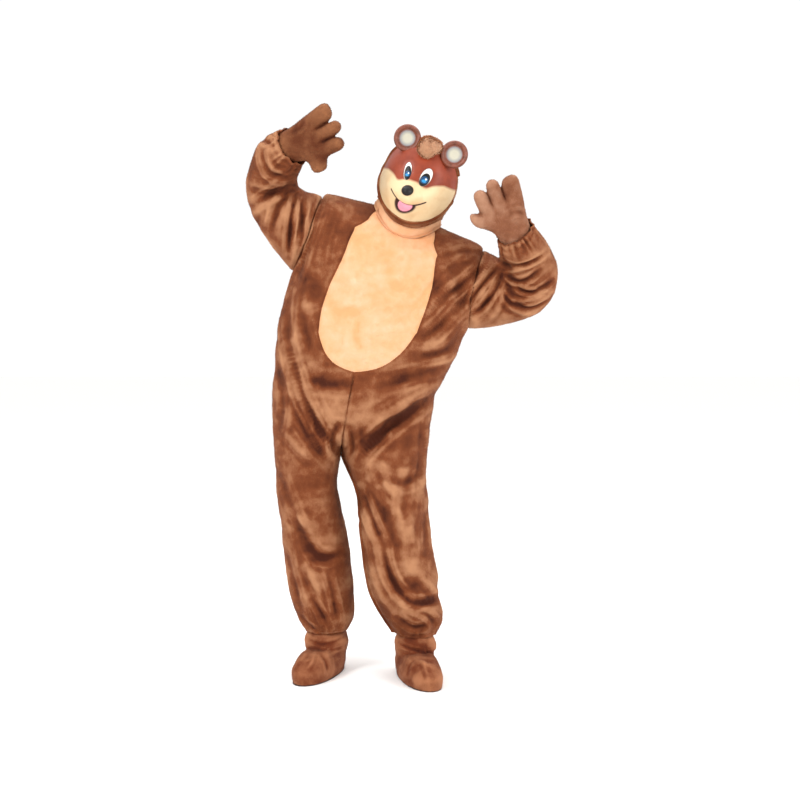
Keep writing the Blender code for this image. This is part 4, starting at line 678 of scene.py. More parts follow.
def pile_tree():
    """The node tree that grows pile on a surface."""
    tree = bpy.data.node_groups.new("pile", "GeometryNodeTree")
    tree.interface.new_socket("Geometry", in_out="INPUT", socket_type="NodeSocketGeometry")
    for name, kind, value in PILE_INPUTS:
        socket = tree.interface.new_socket(name, in_out="INPUT", socket_type=kind)
        if value is not None:
            socket.default_value = value
    tree.interface.new_socket("Geometry", in_out="OUTPUT", socket_type="NodeSocketGeometry")
    given = add_node(tree, "NodeGroupInput").outputs
    points = add_node(tree, "GeometryNodeDistributePointsOnFaces",
                      {"Mesh": given["Geometry"], "Density": given["Density"], "Seed": given["Seed"]},
                      distribute_method="RANDOM")
    nap = add_node(tree, "GeometryNodeInputNamedAttribute", {"Name": "nap"}, data_type="FLOAT_VECTOR")
    stray = add_node(tree, "FunctionNodeRandomValue", {"Min": (-1, -1, -1), "Max": (1, 1, 1),
                                                        "Seed": given["Seed"]}, data_type="FLOAT_VECTOR")
    raised = add_node(tree, "ShaderNodeVectorMath", {0: points.outputs["Normal"], "Scale": given["Lift"]},
                      operation="SCALE")
    strayed = add_node(tree, "ShaderNodeVectorMath", {0: stray.outputs[0], "Scale": given["Spread"]},
                       operation="SCALE")
    way = add_node(tree, "ShaderNodeVectorMath", {0: nap.outputs[0], 1: raised.outputs[0]}, operation="ADD")
    way = add_node(tree, "ShaderNodeVectorMath", {0: way.outputs[0], 1: strayed.outputs[0]}, operation="ADD")
    turn = add_node(tree, "FunctionNodeAxesToRotation",
                    {"Primary Axis": way.outputs[0], "Secondary Axis": points.outputs["Normal"]},
                    primary_axis="X", secondary_axis="Z")
    grown = add_node(tree, "FunctionNodeRandomValue", {2: 0.65, 3: 1.15, "Seed": 7}, data_type="FLOAT")
    length = add_node(tree, "ShaderNodeMath", {0: given["Length"], 1: grown.outputs[1]}, operation="MULTIPLY")
    size = add_node(tree, "ShaderNodeCombineXYZ", {"X": length.outputs[0], "Y": given["Width"], "Z": 1.0})
    blade = add_node(tree, "GeometryNodeMeshCircle", {"Vertices": 3, "Radius": 1.0}, fill_type="NGON")
    blade = add_node(tree, "GeometryNodeTransform",
                     {"Geometry": blade.outputs[0], "Translation": (1 / 3, 0, 0), "Scale": (2 / 3, 0.577, 1)})
    place = add_node(tree, "GeometryNodeInputPosition")
    apart = add_node(tree, "ShaderNodeSeparateXYZ", {0: place.outputs[0]})
    # tip runs from 0 at the root to 1 at the tip, for the painted shade at the roots
    blade = add_node(tree, "GeometryNodeStoreNamedAttribute",
                     {"Geometry": blade.outputs[0], "Name": "tip", "Value": apart.outputs["X"]},
                     data_type="FLOAT", domain="POINT")
    blades = add_node(tree, "GeometryNodeInstanceOnPoints",
                      {"Points": points.outputs["Points"], "Instance": blade.outputs[0],
                       "Rotation": turn.outputs[0], "Scale": size.outputs[0]})
    shade = add_node(tree, "FunctionNodeRandomValue", {2: 0.0, 3: 1.0, "Seed": 11}, data_type="FLOAT")
    blades = add_node(tree, "GeometryNodeStoreNamedAttribute",
                      {"Geometry": blades.outputs[0], "Name": "shade", "Value": shade.outputs[1]},
                      data_type="FLOAT", domain="INSTANCE")
    real = add_node(tree, "GeometryNodeRealizeInstances", {"Geometry": blades.outputs[0]})
    finished = add_node(tree, "GeometryNodeSetMaterial", {"Geometry": real.outputs[0],
                                                           "Material": given["Material"]})
    add_node(tree, "NodeGroupOutput", {"Geometry": finished.outputs[0]})
    return tree


PILE = pile_tree()


def grow_pile(name, mesh, finish, **sizes):
    """Pile on a mesh, as an object of real triangles."""
    made = bpy.data.objects.new(name, mesh)
    bpy.context.scene.collection.objects.link(made)
    grower = made.modifiers.new("pile", "NODES")
    grower.node_group = PILE
    sizes["Material"] = PLUSH[finish]
    for item in PILE.interface.items_tree:
        if item.in_out == "INPUT" and item.name in sizes:
            grower[item.identifier] = sizes[item.name]
    pile = bpy.data.objects.new(name, plain_mesh(made))
    bpy.context.scene.collection.objects.link(pile)
    print(name + ":", len(pile.data.polygons), "blades")
    return pile


# %% [markdown]
# Now the skin is cut into its panels. Each becomes one sheet of cloth. At the hems, cuffs and the collar's
# top the cloth is turned in, as a maker turns it round the elastic, so an edge that shows is rounded and
# has thickness. The pile grows on the panel and stays a piece of its own. A table lists each sheet with the
# width and length of its cut and its flat area.

# %% Cut the panels
TURNED = [(1.2 * MM, -0.4 * MM), (2.4 * MM, 0.8 * MM), (2.8 * MM, 14 * MM)]    # into the wall, and back
SMALL_WALL = 2.4 * MM       # thickness of mitts and shoe covers
Cloth = namedtuple("Cloth", "node finish slot width length area held density pile")
SUIT_CLOTHS = [
    Cloth("front_right", "brown_plush", "plush", 0.45, 1.42, 0.42, "draped", 90000, 0.0046),
    Cloth("front_left", "brown_plush", "plush", 0.45, 1.42, 0.42, "draped", 90000, 0.0046),
    Cloth("back_right", "brown_plush", "plush", 0.48, 1.42, 0.46, "draped", 60000, 0.0050),
    Cloth("back_left", "brown_plush", "plush", 0.48, 1.42, 0.46, "draped", 60000, 0.0050),
    Cloth("belly_panel", "peach_plush", "peach_plush", 0.34, 0.46, 0.122, "draped", 90000, 0.0036),
    Cloth("sleeve_right", "brown_plush", "plush", 0.58, 0.50, 0.22, "gathered", 90000, 0.0046),
    Cloth("sleeve_left", "brown_plush", "plush", 0.60, 0.50, 0.22, "gathered", 90000, 0.0046),
    Cloth("collar", "peach_plush", "peach_plush", 0.66, 0.070, 0.045, "stretched", 90000, 0.0036),
]


def panel_mesh(skin, number, name):
    """The faces of one panel of a skin, as a mesh of its own that knows which edges are free."""
    bm = bmesh.new()
    bm.from_mesh(skin)
    panel = bm.faces.layers.int["panel"]
    free = bm.verts.layers.int.new("free")
    for vert in bm.verts:
        vert[free] = int(vert.is_boundary)
    others = [face for face in bm.faces if face[panel] != number]
    bmesh.ops.delete(bm, geom=others, context="FACES")
    mesh = bpy.data.meshes.new(name)
    bm.to_mesh(mesh)
    bm.free()
    return mesh


def turned_in(mesh):
    """Turns the free edges of a cloth inwards: round the edge first, then back along its inside."""
    bm = bmesh.new()
    bm.from_mesh(mesh)
    bm.normal_update()
    free = bm.verts.layers.int["free"]
    rim = [edge for edge in bm.edges if edge.is_boundary and all(vert[free] for vert in edge.verts)]
    chains = {}
    for vert in {vert for edge in rim for vert in edge.verts}:
        back = sum((edge.other_vert(vert).co - vert.co for edge in vert.link_edges
                    if not edge.is_boundary), Vector())
        back = (back - vert.normal * back.dot(vert.normal)).normalized()
        steps = [(vert.co - vert.normal * depth + back * run) for depth, run in TURNED]
        chains[vert] = [vert] + [bm.verts.new(step) for step in steps]
    for edge in rim:
        loop = edge.link_loops[0]
        a, b = chains[loop.vert], chains[loop.link_loop_next.vert]
        for k in range(len(TURNED)):
            bm.faces.new((b[k], a[k], a[k + 1], b[k + 1]))
    bm.to_mesh(mesh)
    bm.free()


def add_piece(name, mesh, material):
    """An object with its material, shaded smooth, that rides on the one body."""
    mesh.materials.clear()
    mesh.materials.append(material)
    mesh.shade_smooth()
    made = bpy.data.objects.new(name, mesh)
    bpy.context.scene.collection.objects.link(made)
    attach(made, "root")
    return made


def walled(mesh):
    """Gives a small closed piece, such as a mitt, an inside."""
    made = bpy.data.objects.new(mesh.name, mesh.copy())
    bpy.context.scene.collection.objects.link(made)
    wall = made.modifiers.new("wall", "SOLIDIFY")
    wall.thickness = SMALL_WALL
    wall.offset = -1
    return plain_mesh(made)


def sew(cloth, mesh, seed, small=False):
    """A sheet of cloth with its pile, in place of a node."""
    shown = sum(polygon.area for polygon in mesh.polygons)
    pile = grow_pile(cloth.node + "_pile", mesh.copy(), cloth.finish, Density=float(cloth.density),
                     Length=cloth.pile, Seed=seed)
    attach(pile, "root")
    if small:
        mesh = walled(mesh)
    else:
        turned_in(mesh)
    sheet = add_piece(cloth.node + "_cloth", mesh, PLUSH[cloth.finish])
    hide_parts(cloth.node)
    print(cloth.node, "shows", round(shown, 4), "square metres of cloth, and",
          round(sum(polygon.area for polygon in mesh.polygons), 4), "with what is turned in")
    return sheet


for number, cloth in enumerate(SUIT_CLOTHS):
    sew(cloth, panel_mesh(suit_skin, SUIT.index(cloth.node), cloth.node + "_cloth"), number)

# %% [markdown]
# Hood and mask share the edge of the face opening, so they start as one skin too. The head has its own
# axes, rolled and turned against the body, and every feature of the face is placed in them: across, and
# up. The mask's mouldings, which a maker presses into warm vinyl, are low bumps and grooves.

# %% Hood and mask
HEAD = Vector((0.037, -0.022, 0.115))
HEAD_ROLL = math.radians(18)
HEAD_TURN = math.radians(-11)
HEAD_AXES = Matrix.Rotation(HEAD_ROLL, 3, "Y") @ Matrix.Rotation(HEAD_TURN, 3, "Z")
Spot = namedtuple("Spot", "x z wide tall turn")
EYES = [Spot(-0.0240, 0.0190, 0.0118, 0.0268, 10), Spot(0.0350, 0.0170, 0.0158, 0.0286, -10)]
DARKS = [Spot(-0.0215, 0.0135, 0.0106, 0.0218, 10), Spot(0.0337, 0.0085, 0.0140, 0.0212, -12)]
IRISES = [Spot(-0.0213, 0.0100, 0.0086, 0.0098, 0), Spot(0.0330, 0.0070, 0.0112, 0.0118, 0)]
GLINTS = [Spot(-0.0185, 0.0125, 0.0022, 0.0024, 0), Spot(0.0370, 0.0105, 0.0030, 0.0028, 0)]
NOSE = Spot(0.000, -0.0390, 0.0178, 0.0165, -4)
MOUTH = Spot(0.0010, -0.0760, 0.0350, 0.0255, 16)
TONGUE = Spot(0.0010, -0.0830, 0.0240, 0.0152, 14)
SMILE_MIDDLE = (0.006, -0.0800)
SMILE_BOW = 9.0             # how strongly the smile curves up to its corners
SMILE_ENDS = (-0.053, 0.058)


def smile_height(x):
    """The height of the smile line in the head's axes."""
    return SMILE_MIDDLE[1] + SMILE_BOW * (x - SMILE_MIDDLE[0]) ** 2


def brow_height(x):
    """The height at which the cream muzzle meets the brown of the upper face."""
    x = np.abs(x)
    return -0.006 - 0.009 * np.exp(-((x - 0.042) / 0.015) ** 2) + 0.016 * np.clip((x - 0.05) / 0.04, 0, 1)


def inside(spot, x, z):
    """How deep a place lies in an ellipse: 1 in the middle, 0 on its edge, below 0 outside."""
    turn = math.radians(spot.turn)
    across = ((x - spot.x) * math.cos(turn) + (z - spot.z) * math.sin(turn)) / spot.wide
    up = (-(x - spot.x) * math.sin(turn) + (z - spot.z) * math.cos(turn)) / spot.tall
    return 1 - np.hypot(across, up)


def dome(depth):
    """A rounded bump from 0 at an edge to 1 in the middle."""
    return np.sqrt(np.clip(1 - (1 - np.clip(depth, 0, 1)) ** 2, 0, 1))


head_skin = subdivided(joined_skin(["hood", "mask"]), 3)
face = (read_points(head_skin)[0] - np.array(HEAD)) @ np.array(HEAD_AXES)
store(head_skin, "face", face, "FLOAT_VECTOR")
print("head skin:", len(head_skin.polygons), "faces")


EYE_SWELL = 2.2 * MM
EYE_GROOVE = 1.5 * MM
NOSE_OUT = 7 * MM
MOUTH_IN = 5 * MM
TONGUE_OUT = 2.5 * MM
SMILE_IN = 1.6 * MM
SMILE_HALF = 2.4 * MM


def mould_face(mesh):
    """Presses eyes, nose and mouth into the mask."""
    points, normals = read_points(mesh)
    local = (points - np.array(HEAD)) @ np.array(HEAD_AXES)
    x, z = local[:, 0], local[:, 2]
    lift = np.zeros(len(points))
    for spot in EYES:
        depth = inside(spot, x, z)
        lift += EYE_SWELL * dome(1.6 * depth) - EYE_GROOVE * np.exp(-(depth / 0.18) ** 2)
    lift += NOSE_OUT * dome(1.1 * inside(NOSE, x, z))
    lift -= MOUTH_IN * dome(inside(MOUTH, x, z)) * (z < smile_height(x))
    lift += TONGUE_OUT * dome(inside(TONGUE, x, z)) * (z < smile_height(x))
    near = (x > SMILE_ENDS[0]) & (x < SMILE_ENDS[1])
    lift -= np.where(near, SMILE_IN * np.exp(-((z - smile_height(x)) / SMILE_HALF) ** 2), 0)
    lift *= (local[:, 1] < -0.03)
    write_points(mesh, points + normals * lift[:, None])


# %% [markdown]
# The mask is moulded vinyl, airbrushed and then painted by brush. To the eye it is smooth, with a soft low
# gloss and a faint grain, drawn 2 mm wide here so that it shows. It is one material for all of the paint.
# The ellipses of eyes, nose and mouth are worked out in the shader from the stored face coordinates, so
# their edges stay crisp at any distance. Three more attributes carry what isn't an ellipse: how far a point
# lies above the border of the brown, its distance from the smile line, and whether it is below that line.

# %% Painted vinyl
PAINT = {"cream": "#DABF95", "blush": "#BF9264", "brown": "#8E391E", "deep": "#642110", "black": "#050404",
         "white": "#F0EAE4", "iris": "#0E3F68", "light_iris": "#2C86BC", "glint": "#E8F6FF",
         "nose": "#0D0B0A", "mouth": "#2C0F12", "tongue": "#E895A8"}
SOFT = 0.06                 # softness of a painted edge, as a share of the ellipse
BROW_FADE = 4 * MM          # the airbrush blends brown into cream over twice this width
SMILE_LINE = (2.3 * MM, 1.4 * MM)


def spot_mask(tree, face, spot):
    """1 inside an ellipse of the face and 0 outside it."""
    moved = add_node(tree, "ShaderNodeVectorMath", {0: face, 1: (spot.x, 0, spot.z)}, operation="SUBTRACT")
    turned = add_node(tree, "ShaderNodeVectorRotate", {"Vector": moved.outputs[0],
                                                        "Angle": math.radians(spot.turn)},
                      rotation_type="Y_AXIS")
    scaled = add_node(tree, "ShaderNodeVectorMath",
                      {0: turned.outputs[0], 1: (1 / spot.wide, 0, 1 / spot.tall)}, operation="MULTIPLY")
    length = add_node(tree, "ShaderNodeVectorMath", {0: scaled.outputs[0]}, operation="LENGTH")
    return add_node(tree, "ShaderNodeMapRange", {"Value": length.outputs["Value"], "From Min": 1 + SOFT,
                                                  "From Max": 1 - SOFT}).outputs["Result"]


def edge_mask(tree, value, low, high):
    """0 below low and 1 above high."""
    return add_node(tree, "ShaderNodeMapRange", {"Value": value, "From Min": low, "From Max": high}
                    ).outputs["Result"]


def paint_over(tree, below, mask, code):
    """A colour laid over what is below it, where a mask shows it."""
    over = code if isinstance(code, bpy.types.NodeSocket) else colour(code)
    mixed = add_node(tree, "ShaderNodeMix", {"Factor": mask, 6: below, 7: over}, data_type="RGBA")
    return mixed.outputs[2]


def painted_vinyl():
    """The mask's material: airbrushed cream and brown, with eyes, nose and mouth."""
    made, tree, shader = new_material("painted_vinyl")
    place = add_node(tree, "ShaderNodeTexCoord").outputs["Object"]
    face = add_node(tree, "ShaderNodeAttribute", attribute_name="face").outputs["Vector"]
    brow = add_node(tree, "ShaderNodeAttribute", attribute_name="brow").outputs["Fac"]
    smile = add_node(tree, "ShaderNodeAttribute", attribute_name="smile").outputs["Fac"]
    below = add_node(tree, "ShaderNodeAttribute", attribute_name="below_smile").outputs["Fac"]
    cloud = add_node(tree, "ShaderNodeTexNoise", {"Vector": place, "Scale": 18.0, "Detail": 3.0})
    cloud = cloud.outputs["Fac"]
    speck = add_node(tree, "ShaderNodeTexNoise", {"Vector": place, "Scale": 420.0, "Detail": 2.0})
    speck = speck.outputs["Fac"]
    cream = paint_over(tree, colour(PAINT["cream"]), edge_mask(tree, cloud, 0.5, 0.95), PAINT["blush"])
    brown = paint_over(tree, colour(PAINT["brown"]), edge_mask(tree, cloud, 0.42, 0.8), PAINT["deep"])
    skin = paint_over(tree, cream, edge_mask(tree, brow, -BROW_FADE, BROW_FADE), brown)
    skin = paint_over(tree, skin, edge_mask(tree, smile, *SMILE_LINE), PAINT["mouth"])
    mouth = add_node(tree, "ShaderNodeMath", {0: spot_mask(tree, face, MOUTH), 1: below},
                     operation="MULTIPLY").outputs[0]
    skin = paint_over(tree, skin, mouth, PAINT["mouth"])
    tongue = add_node(tree, "ShaderNodeMath", {0: spot_mask(tree, face, TONGUE), 1: below},
                      operation="MULTIPLY").outputs[0]
    skin = paint_over(tree, skin, tongue, PAINT["tongue"])
    for eye, dark, iris, glint in zip(EYES, DARKS, IRISES, GLINTS):
        rim = eye._replace(wide=eye.wide + 0.9 * MM, tall=eye.tall + 0.9 * MM)
        lower = iris._replace(wide=iris.wide * 0.6, tall=iris.tall * 0.4, z=iris.z - 3.5 * MM)
        for spot, name in ((rim, "black"), (eye, "white"), (dark, "black"), (iris, "iris"),
                           (lower, "light_iris"), (glint, "glint")):
            skin = paint_over(tree, skin, spot_mask(tree, face, spot), PAINT[name])
    skin = paint_over(tree, skin, spot_mask(tree, face, NOSE), PAINT["nose"])
    tree.links.new(skin, shader.inputs["Base Color"])
    rough = add_node(tree, "ShaderNodeMapRange", {"Value": cloud, "To Min": 0.42, "To Max": 0.60})
    tree.links.new(rough.outputs["Result"], shader.inputs["Roughness"])
    bump = add_node(tree, "ShaderNodeBump", {"Height": speck, "Strength": 0.25, "Distance": 0.4 * MM})
    tree.links.new(bump.outputs["Normal"], shader.inputs["Normal"])
    shader.inputs["Specular IOR Level"].default_value = 0.3
    shader.inputs["Coat Weight"].default_value = 0.06
    shader.inputs["Coat Roughness"].default_value = 0.25
    return made


VINYL = painted_vinyl()
store(head_skin, "brow", face[:, 2] - brow_height(face[:, 0]), "FLOAT")
beyond = np.maximum(face[:, 0] - SMILE_ENDS[1], SMILE_ENDS[0] - face[:, 0])
smile_gap = np.hypot(face[:, 2] - smile_height(face[:, 0]), np.maximum(beyond, 0))
slope = 2 * SMILE_BOW * (face[:, 0] - SMILE_MIDDLE[0])
store(head_skin, "smile", smile_gap / np.sqrt(1 + slope ** 2), "FLOAT")
store(head_skin, "below_smile", np.clip((smile_height(face[:, 0]) - face[:, 2]) / MM, 0, 1), "FLOAT")
print("vinyl painted")

# %% [markdown]
# The hood is cloth with pile, so it gets creases, nap and the painted highlight and shade of the fold
# attribute like the suit, raised so that the whole hood comes out a little lighter. Then the head's skin is
# cut into the hood's cloth and the mask.

# %% Crease and cut the head's skin
HOOD_NAP = (0.1, 0.15, -1.0)
HOOD_LIGHT = 0.3
HOOD_CREASES = [
    Crease(-0.095, 0.010, -0.080, -0.040, -0.050, -0.075, 0.012, -0.004),
    Crease(0.150, 0.120, 0.140, 0.060, 0.120, 0.010, 0.012, -0.004),
]
HOOD_BACK_CREASES = [
    Crease(-0.030, 0.180, -0.040, 0.110, -0.030, 0.040, 0.018, -0.004),
    Crease(0.070, 0.190, 0.080, 0.110, 0.075, 0.030, 0.018, -0.004),
    Crease(-0.060, 0.060, 0.000, 0.035, 0.070, 0.040, 0.016, -0.005),
]
crumpled(head_skin, HOOD_CREASES, HOOD_BACK_CREASES, 0.6 * MM)
dress_skin(head_skin, np.tile(HOOD_NAP, (len(head_skin.vertices), 1)), 1.0, HOOD_LIGHT)
hood_mesh = panel_mesh(head_skin, 0, "hood_cloth")
mask_mesh = panel_mesh(head_skin, 1, "mask_shell")
print("hood:", len(hood_mesh.polygons), "faces, mask:", len(mask_mesh.polygons), "faces")

# %% [markdown]
# A vinyl mask is glued over the hood's face opening, and it laps over the cloth, most of all at the cheek
# and the chin. A table gives the lap in several directions from the mask's middle. The mask's edge is
# stretched outwards by it and stands a little proud, and the hood's cloth is pressed down under it.

# %% Lap the mask over the hood
LAP = [(-0.8, 0.8, 0.001), (-1.0, 0.3, 0.006), (-1.0, -0.3, 0.020), (-0.5, -0.9, 0.020), (0.0, -1.0, 0.016),
       (0.6, -0.8, 0.013), (1.0, 0.0, 0.005), (0.8, 0.8, 0.001)]
LAP_REACH = 0.040
LAP_MIDDLE = (0.0, -0.020)
LAP_FOCUS = 12              # the higher, the less the directions blend
MASK_PROUD = 2.4 * MM
HOOD_PRESSED = 4 * MM
PRESSED_REACH = 0.045


def border_of(mesh):
    """The points on the open edge of a mesh."""
    ends = {}
    for polygon in mesh.polygons:
        for edge in polygon.edge_keys:
            ends[edge] = ends.get(edge, 0) + 1
    return sorted({i for edge, count in ends.items() if count == 1 for i in edge})


def lapped(mask, hood):
    """Widens the mask's edge over the hood, and sinks the hood's cloth under it."""
    points, normals = read_points(mask)
    rim = points[border_of(mask)]
    near = np.clip(1 - distance_to(rim, points) / LAP_REACH, 0, 1) ** 2
    local = (points - np.array(HEAD)) @ np.array(HEAD_AXES)
    out = local[:, [0, 2]] - LAP_MIDDLE
    out /= np.maximum(np.linalg.norm(out, axis=1), 1e-6)[:, None]
    ways = np.array([row[:2] for row in LAP])
    ways /= np.linalg.norm(ways, axis=1)[:, None]
    match = np.clip(out @ ways.T, 0, 1) ** LAP_FOCUS + 1e-9
    far = (match @ np.array([row[2] for row in LAP])) / match.sum(axis=1)
    tangent = np.stack((out[:, 0], np.zeros(len(out)), out[:, 1]), axis=1) @ np.array(HEAD_AXES).T
    tangent -= normals * (tangent * normals).sum(axis=1)[:, None]
    tangent /= np.maximum(np.linalg.norm(tangent, axis=1), 1e-6)[:, None]
    write_points(mask, points + tangent * (far * near)[:, None] + normals * (MASK_PROUD * near)[:, None])
    points, normals = read_points(hood)
    pressed = HOOD_PRESSED * np.clip(1 - distance_to(rim, points) / PRESSED_REACH, 0, 1) ** 2
    write_points(hood, points - normals * pressed[:, None])


lapped(mask_mesh, hood_mesh)
print("mask lapped over the hood by up to", round(1000 * max(row[2] for row in LAP)), "mm")

# %% [markdown]
# The hood is sewn like the other cloths. The mask only needs its eyes, nose and mouth pressed in, and its
# paint, because the vinyl is stiff and smooth.

# %% Hood and mask in place
sew(Cloth("hood", "brown_plush", "plush", 0.62, 0.30, 0.128, "stretched", 110000, 0.0050), hood_mesh, 20)
mould_face(mask_mesh)
mask = add_piece("mask_shell", mask_mesh, VINYL)
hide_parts("mask")
print("mask:", len(mask.data.polygons), "faces")

# %% [markdown]
# An ear is a moulded dish, turned from a profile. The profile's corners are rounded by a smooth curve, and
# each point stores its distance from the middle, so the paint can put a pale disc in it that turns grey
# towards the foot of the rim, as painted shade in the dish's inner corner. The ears stand on the front of the
# head, so that the whole of both dishes shows.

# %% Ears
EAR_PROFILE = [(0.0, -0.004), (0.028, -0.001), (0.039, 0.005), (0.042, 0.011), (0.038, 0.018), (0.031, 0.016),
               (0.024, 0.009), (0.0, 0.006)]
EAR_PLACES = {"ear_right": (-0.064, -0.060, 0.116), "ear_left": (0.089, -0.060, 0.110)}
EAR_STEPS = 64
EAR_PAINT = {"rim": "#7A3D28", "shadow": "#52260F", "grey": "#7F8084", "disc": "#B9B5A2"}


def smooth_profile(profile, fine=6):
    """A profile with its corners rounded, as a curve through its points."""
    points = np.array(profile)
    padded = np.vstack((points[0] * (-1, 1) + (2 * points[0][0], 0), points, points[-1]))
    rounded = []
    for i in range(1, len(points)):
        a, b, c, d = padded[i - 1:i + 3]
        for t in np.arange(fine) / fine:
            rounded.append(0.5 * (2 * b + (c - a) * t + (2 * a - 5 * b + 4 * c - d) * t ** 2
                                  + (3 * b - a - 3 * c + d) * t ** 3))
    return np.array(rounded + [points[-1]])


def ear_mesh(name):
    """A turned dish in its place on the head, facing forwards."""
    outline = smooth_profile(EAR_PROFILE)
    middle = np.array(EAR_PLACES[name])
    bm = bmesh.new()
    ring = bm.verts.layers.float.new("ring")
    rows = []
    for radius, height in outline:
        radius = max(float(radius), 0.0)
        row = []
        for k in range(EAR_STEPS if radius > 1e-5 else 1):
            turn = 2 * math.pi * k / EAR_STEPS
            local = middle + np.array((radius * math.cos(turn), -height, radius * math.sin(turn)))
            vert = bm.verts.new(HEAD + HEAD_AXES @ Vector(local))
            vert[ring] = radius
            row.append(vert)
        rows.append(row)
    for lower, upper in zip(rows, rows[1:]):
        for k in range(EAR_STEPS):
            quad = [lower[k % len(lower)], lower[(k + 1) % len(lower)],
                    upper[(k + 1) % len(upper)], upper[k % len(upper)]]
            bm.faces.new(list(dict.fromkeys(quad)))
    bmesh.ops.recalc_face_normals(bm, faces=bm.faces)
    mesh = bpy.data.meshes.new(name + "_shell")
    bm.to_mesh(mesh)
    bm.free()
    return mesh


def ear_vinyl():
    """Red-brown vinyl with a pale disc, greyed by painted shade towards the rim."""
    made, tree, shader = new_material("ear_vinyl")
    place = add_node(tree, "ShaderNodeTexCoord").outputs["Object"]
    ring = add_node(tree, "ShaderNodeAttribute", attribute_name="ring").outputs["Fac"]
    cloud = add_node(tree, "ShaderNodeTexNoise", {"Vector": place, "Scale": 60.0, "Detail": 4.0})
    cloud = cloud.outputs["Fac"]
    skin = paint_over(tree, colour(EAR_PAINT["rim"]), edge_mask(tree, cloud, 0.40, 0.75),
                      EAR_PAINT["shadow"])
    # painted shade: a soft grey ring where the disc meets the rim
    skin = paint_over(tree, skin, edge_mask(tree, ring, 0.0265, 0.0215), EAR_PAINT["grey"])
    skin = paint_over(tree, skin, edge_mask(tree, ring, 0.0235, 0.0120), EAR_PAINT["disc"])
    tree.links.new(skin, shader.inputs["Base Color"])
    rough = add_node(tree, "ShaderNodeMapRange", {"Value": cloud, "To Min": 0.45, "To Max": 0.65})
    tree.links.new(rough.outputs["Result"], shader.inputs["Roughness"])
    bump = add_node(tree, "ShaderNodeBump", {"Height": cloud, "Strength": 0.35, "Distance": 0.8 * MM})
    tree.links.new(bump.outputs["Normal"], shader.inputs["Normal"])
    shader.inputs["Coat Weight"].default_value = 0.15
    shader.inputs["Coat Roughness"].default_value = 0.4
    return made


EAR_VINYL = ear_vinyl()
for name in EAR_PLACES:
    ear = add_piece(name + "_shell", ear_mesh(name), EAR_VINYL)
    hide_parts(name)
    print(name, "turned with", len(ear.data.polygons), "faces")

# %% [markdown]
# The tuft is a pad of longer fur in rounded locks with a low parting between them. The pad takes the
# node's form and each lock raises it. Long blades lie forwards and outwards over it from the crown, like
# fur that is combed apart, and curl a little round each lock.

# %% Tuft
Lock = namedtuple("Lock", "x z wide tall rise curl")
LOCKS = [Lock(-0.006, 0.106, 0.017, 0.030, 0.014, 1.0), Lock(0.030, 0.110, 0.016, 0.022, 0.018, -1.0),
         Lock(0.012, 0.086, 0.012, 0.014, 0.010, 0.6)]
TUFT_SHIFT = (0.004, 0.000, 0.000)
TUFT_PARTING = 3 * MM
TUFT_RIPPLE = 1.2 * MM
tuft_mesh = subdivided(outer_side("tuft"), 3)
tuft_points, tuft_normals = read_points(tuft_mesh)
local = (tuft_points - np.array(HEAD)) @ np.array(HEAD_AXES)
ahead = np.clip(-(tuft_normals @ np.array(HEAD_AXES))[:, 1] + 0.5, 0, 1)
rise = np.full(len(local), -TUFT_PARTING)
combed = np.tile((0.0, -0.3, -0.5), (len(local), 1))
for lock in LOCKS:
    across, up = (local[:, 0] - lock.x) / lock.wide, (local[:, 2] - lock.z) / lock.tall
    full = np.exp(-across ** 2 - up ** 2)
    rise += (lock.rise + TUFT_PARTING) * full
    combed += full[:, None] * np.stack((lock.curl * up - across, np.full(len(up), -0.3),
                                        -lock.curl * across - up), axis=1)
rise += TUFT_RIPPLE * drift(local, 0.016, 0.7)
write_points(tuft_mesh, tuft_points + tuft_normals * (rise * ahead)[:, None]
             + np.array(HEAD_AXES) @ np.array(TUFT_SHIFT))
# the tuft's fold attribute is weakened to 0.35, so its painted highlight and shade are soft
dress_skin(tuft_mesh, combed @ np.array(HEAD_AXES).T, 0.35)
tuft_pile = grow_pile("tuft_pile", tuft_mesh.copy(), "tan_pile", Density=900000.0, Length=0.009, Width=0.0013,
                      Lift=0.16, Spread=0.45, Seed=30)
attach(tuft_pile, "root")
tuft = add_piece("tuft_pad", tuft_mesh, PLUSH["tan_pile"])
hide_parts("tuft")

# %% [markdown]
# A mitt is a small bag of two cloths with fat, lightly stuffed fingers. It takes the outside of its node,
# fuller and rounder. A voxel remesh then joins the fingers where they touch, as plush does between fingers,
# but it needs a closed form. So the wrist is filled for it, and cut open again afterwards.

# %% Mitts
MITT_CREASES = [
    Crease(-0.345, 0.255, -0.320, 0.262, -0.300, 0.285, 0.010, -0.004),
    Crease(0.300, 0.010, 0.325, 0.020, 0.350, 0.010, 0.010, -0.004),
]
FAT = 2.6 * MM              # how much fuller the fingers are than the plain solid
FAT_REACH = 0.030           # over this length from the wrist the fullness comes in
VOXEL = 2.6 * MM
SHOWN_WRIST = 4 * MM        # how much of the closed wrist is cut off again


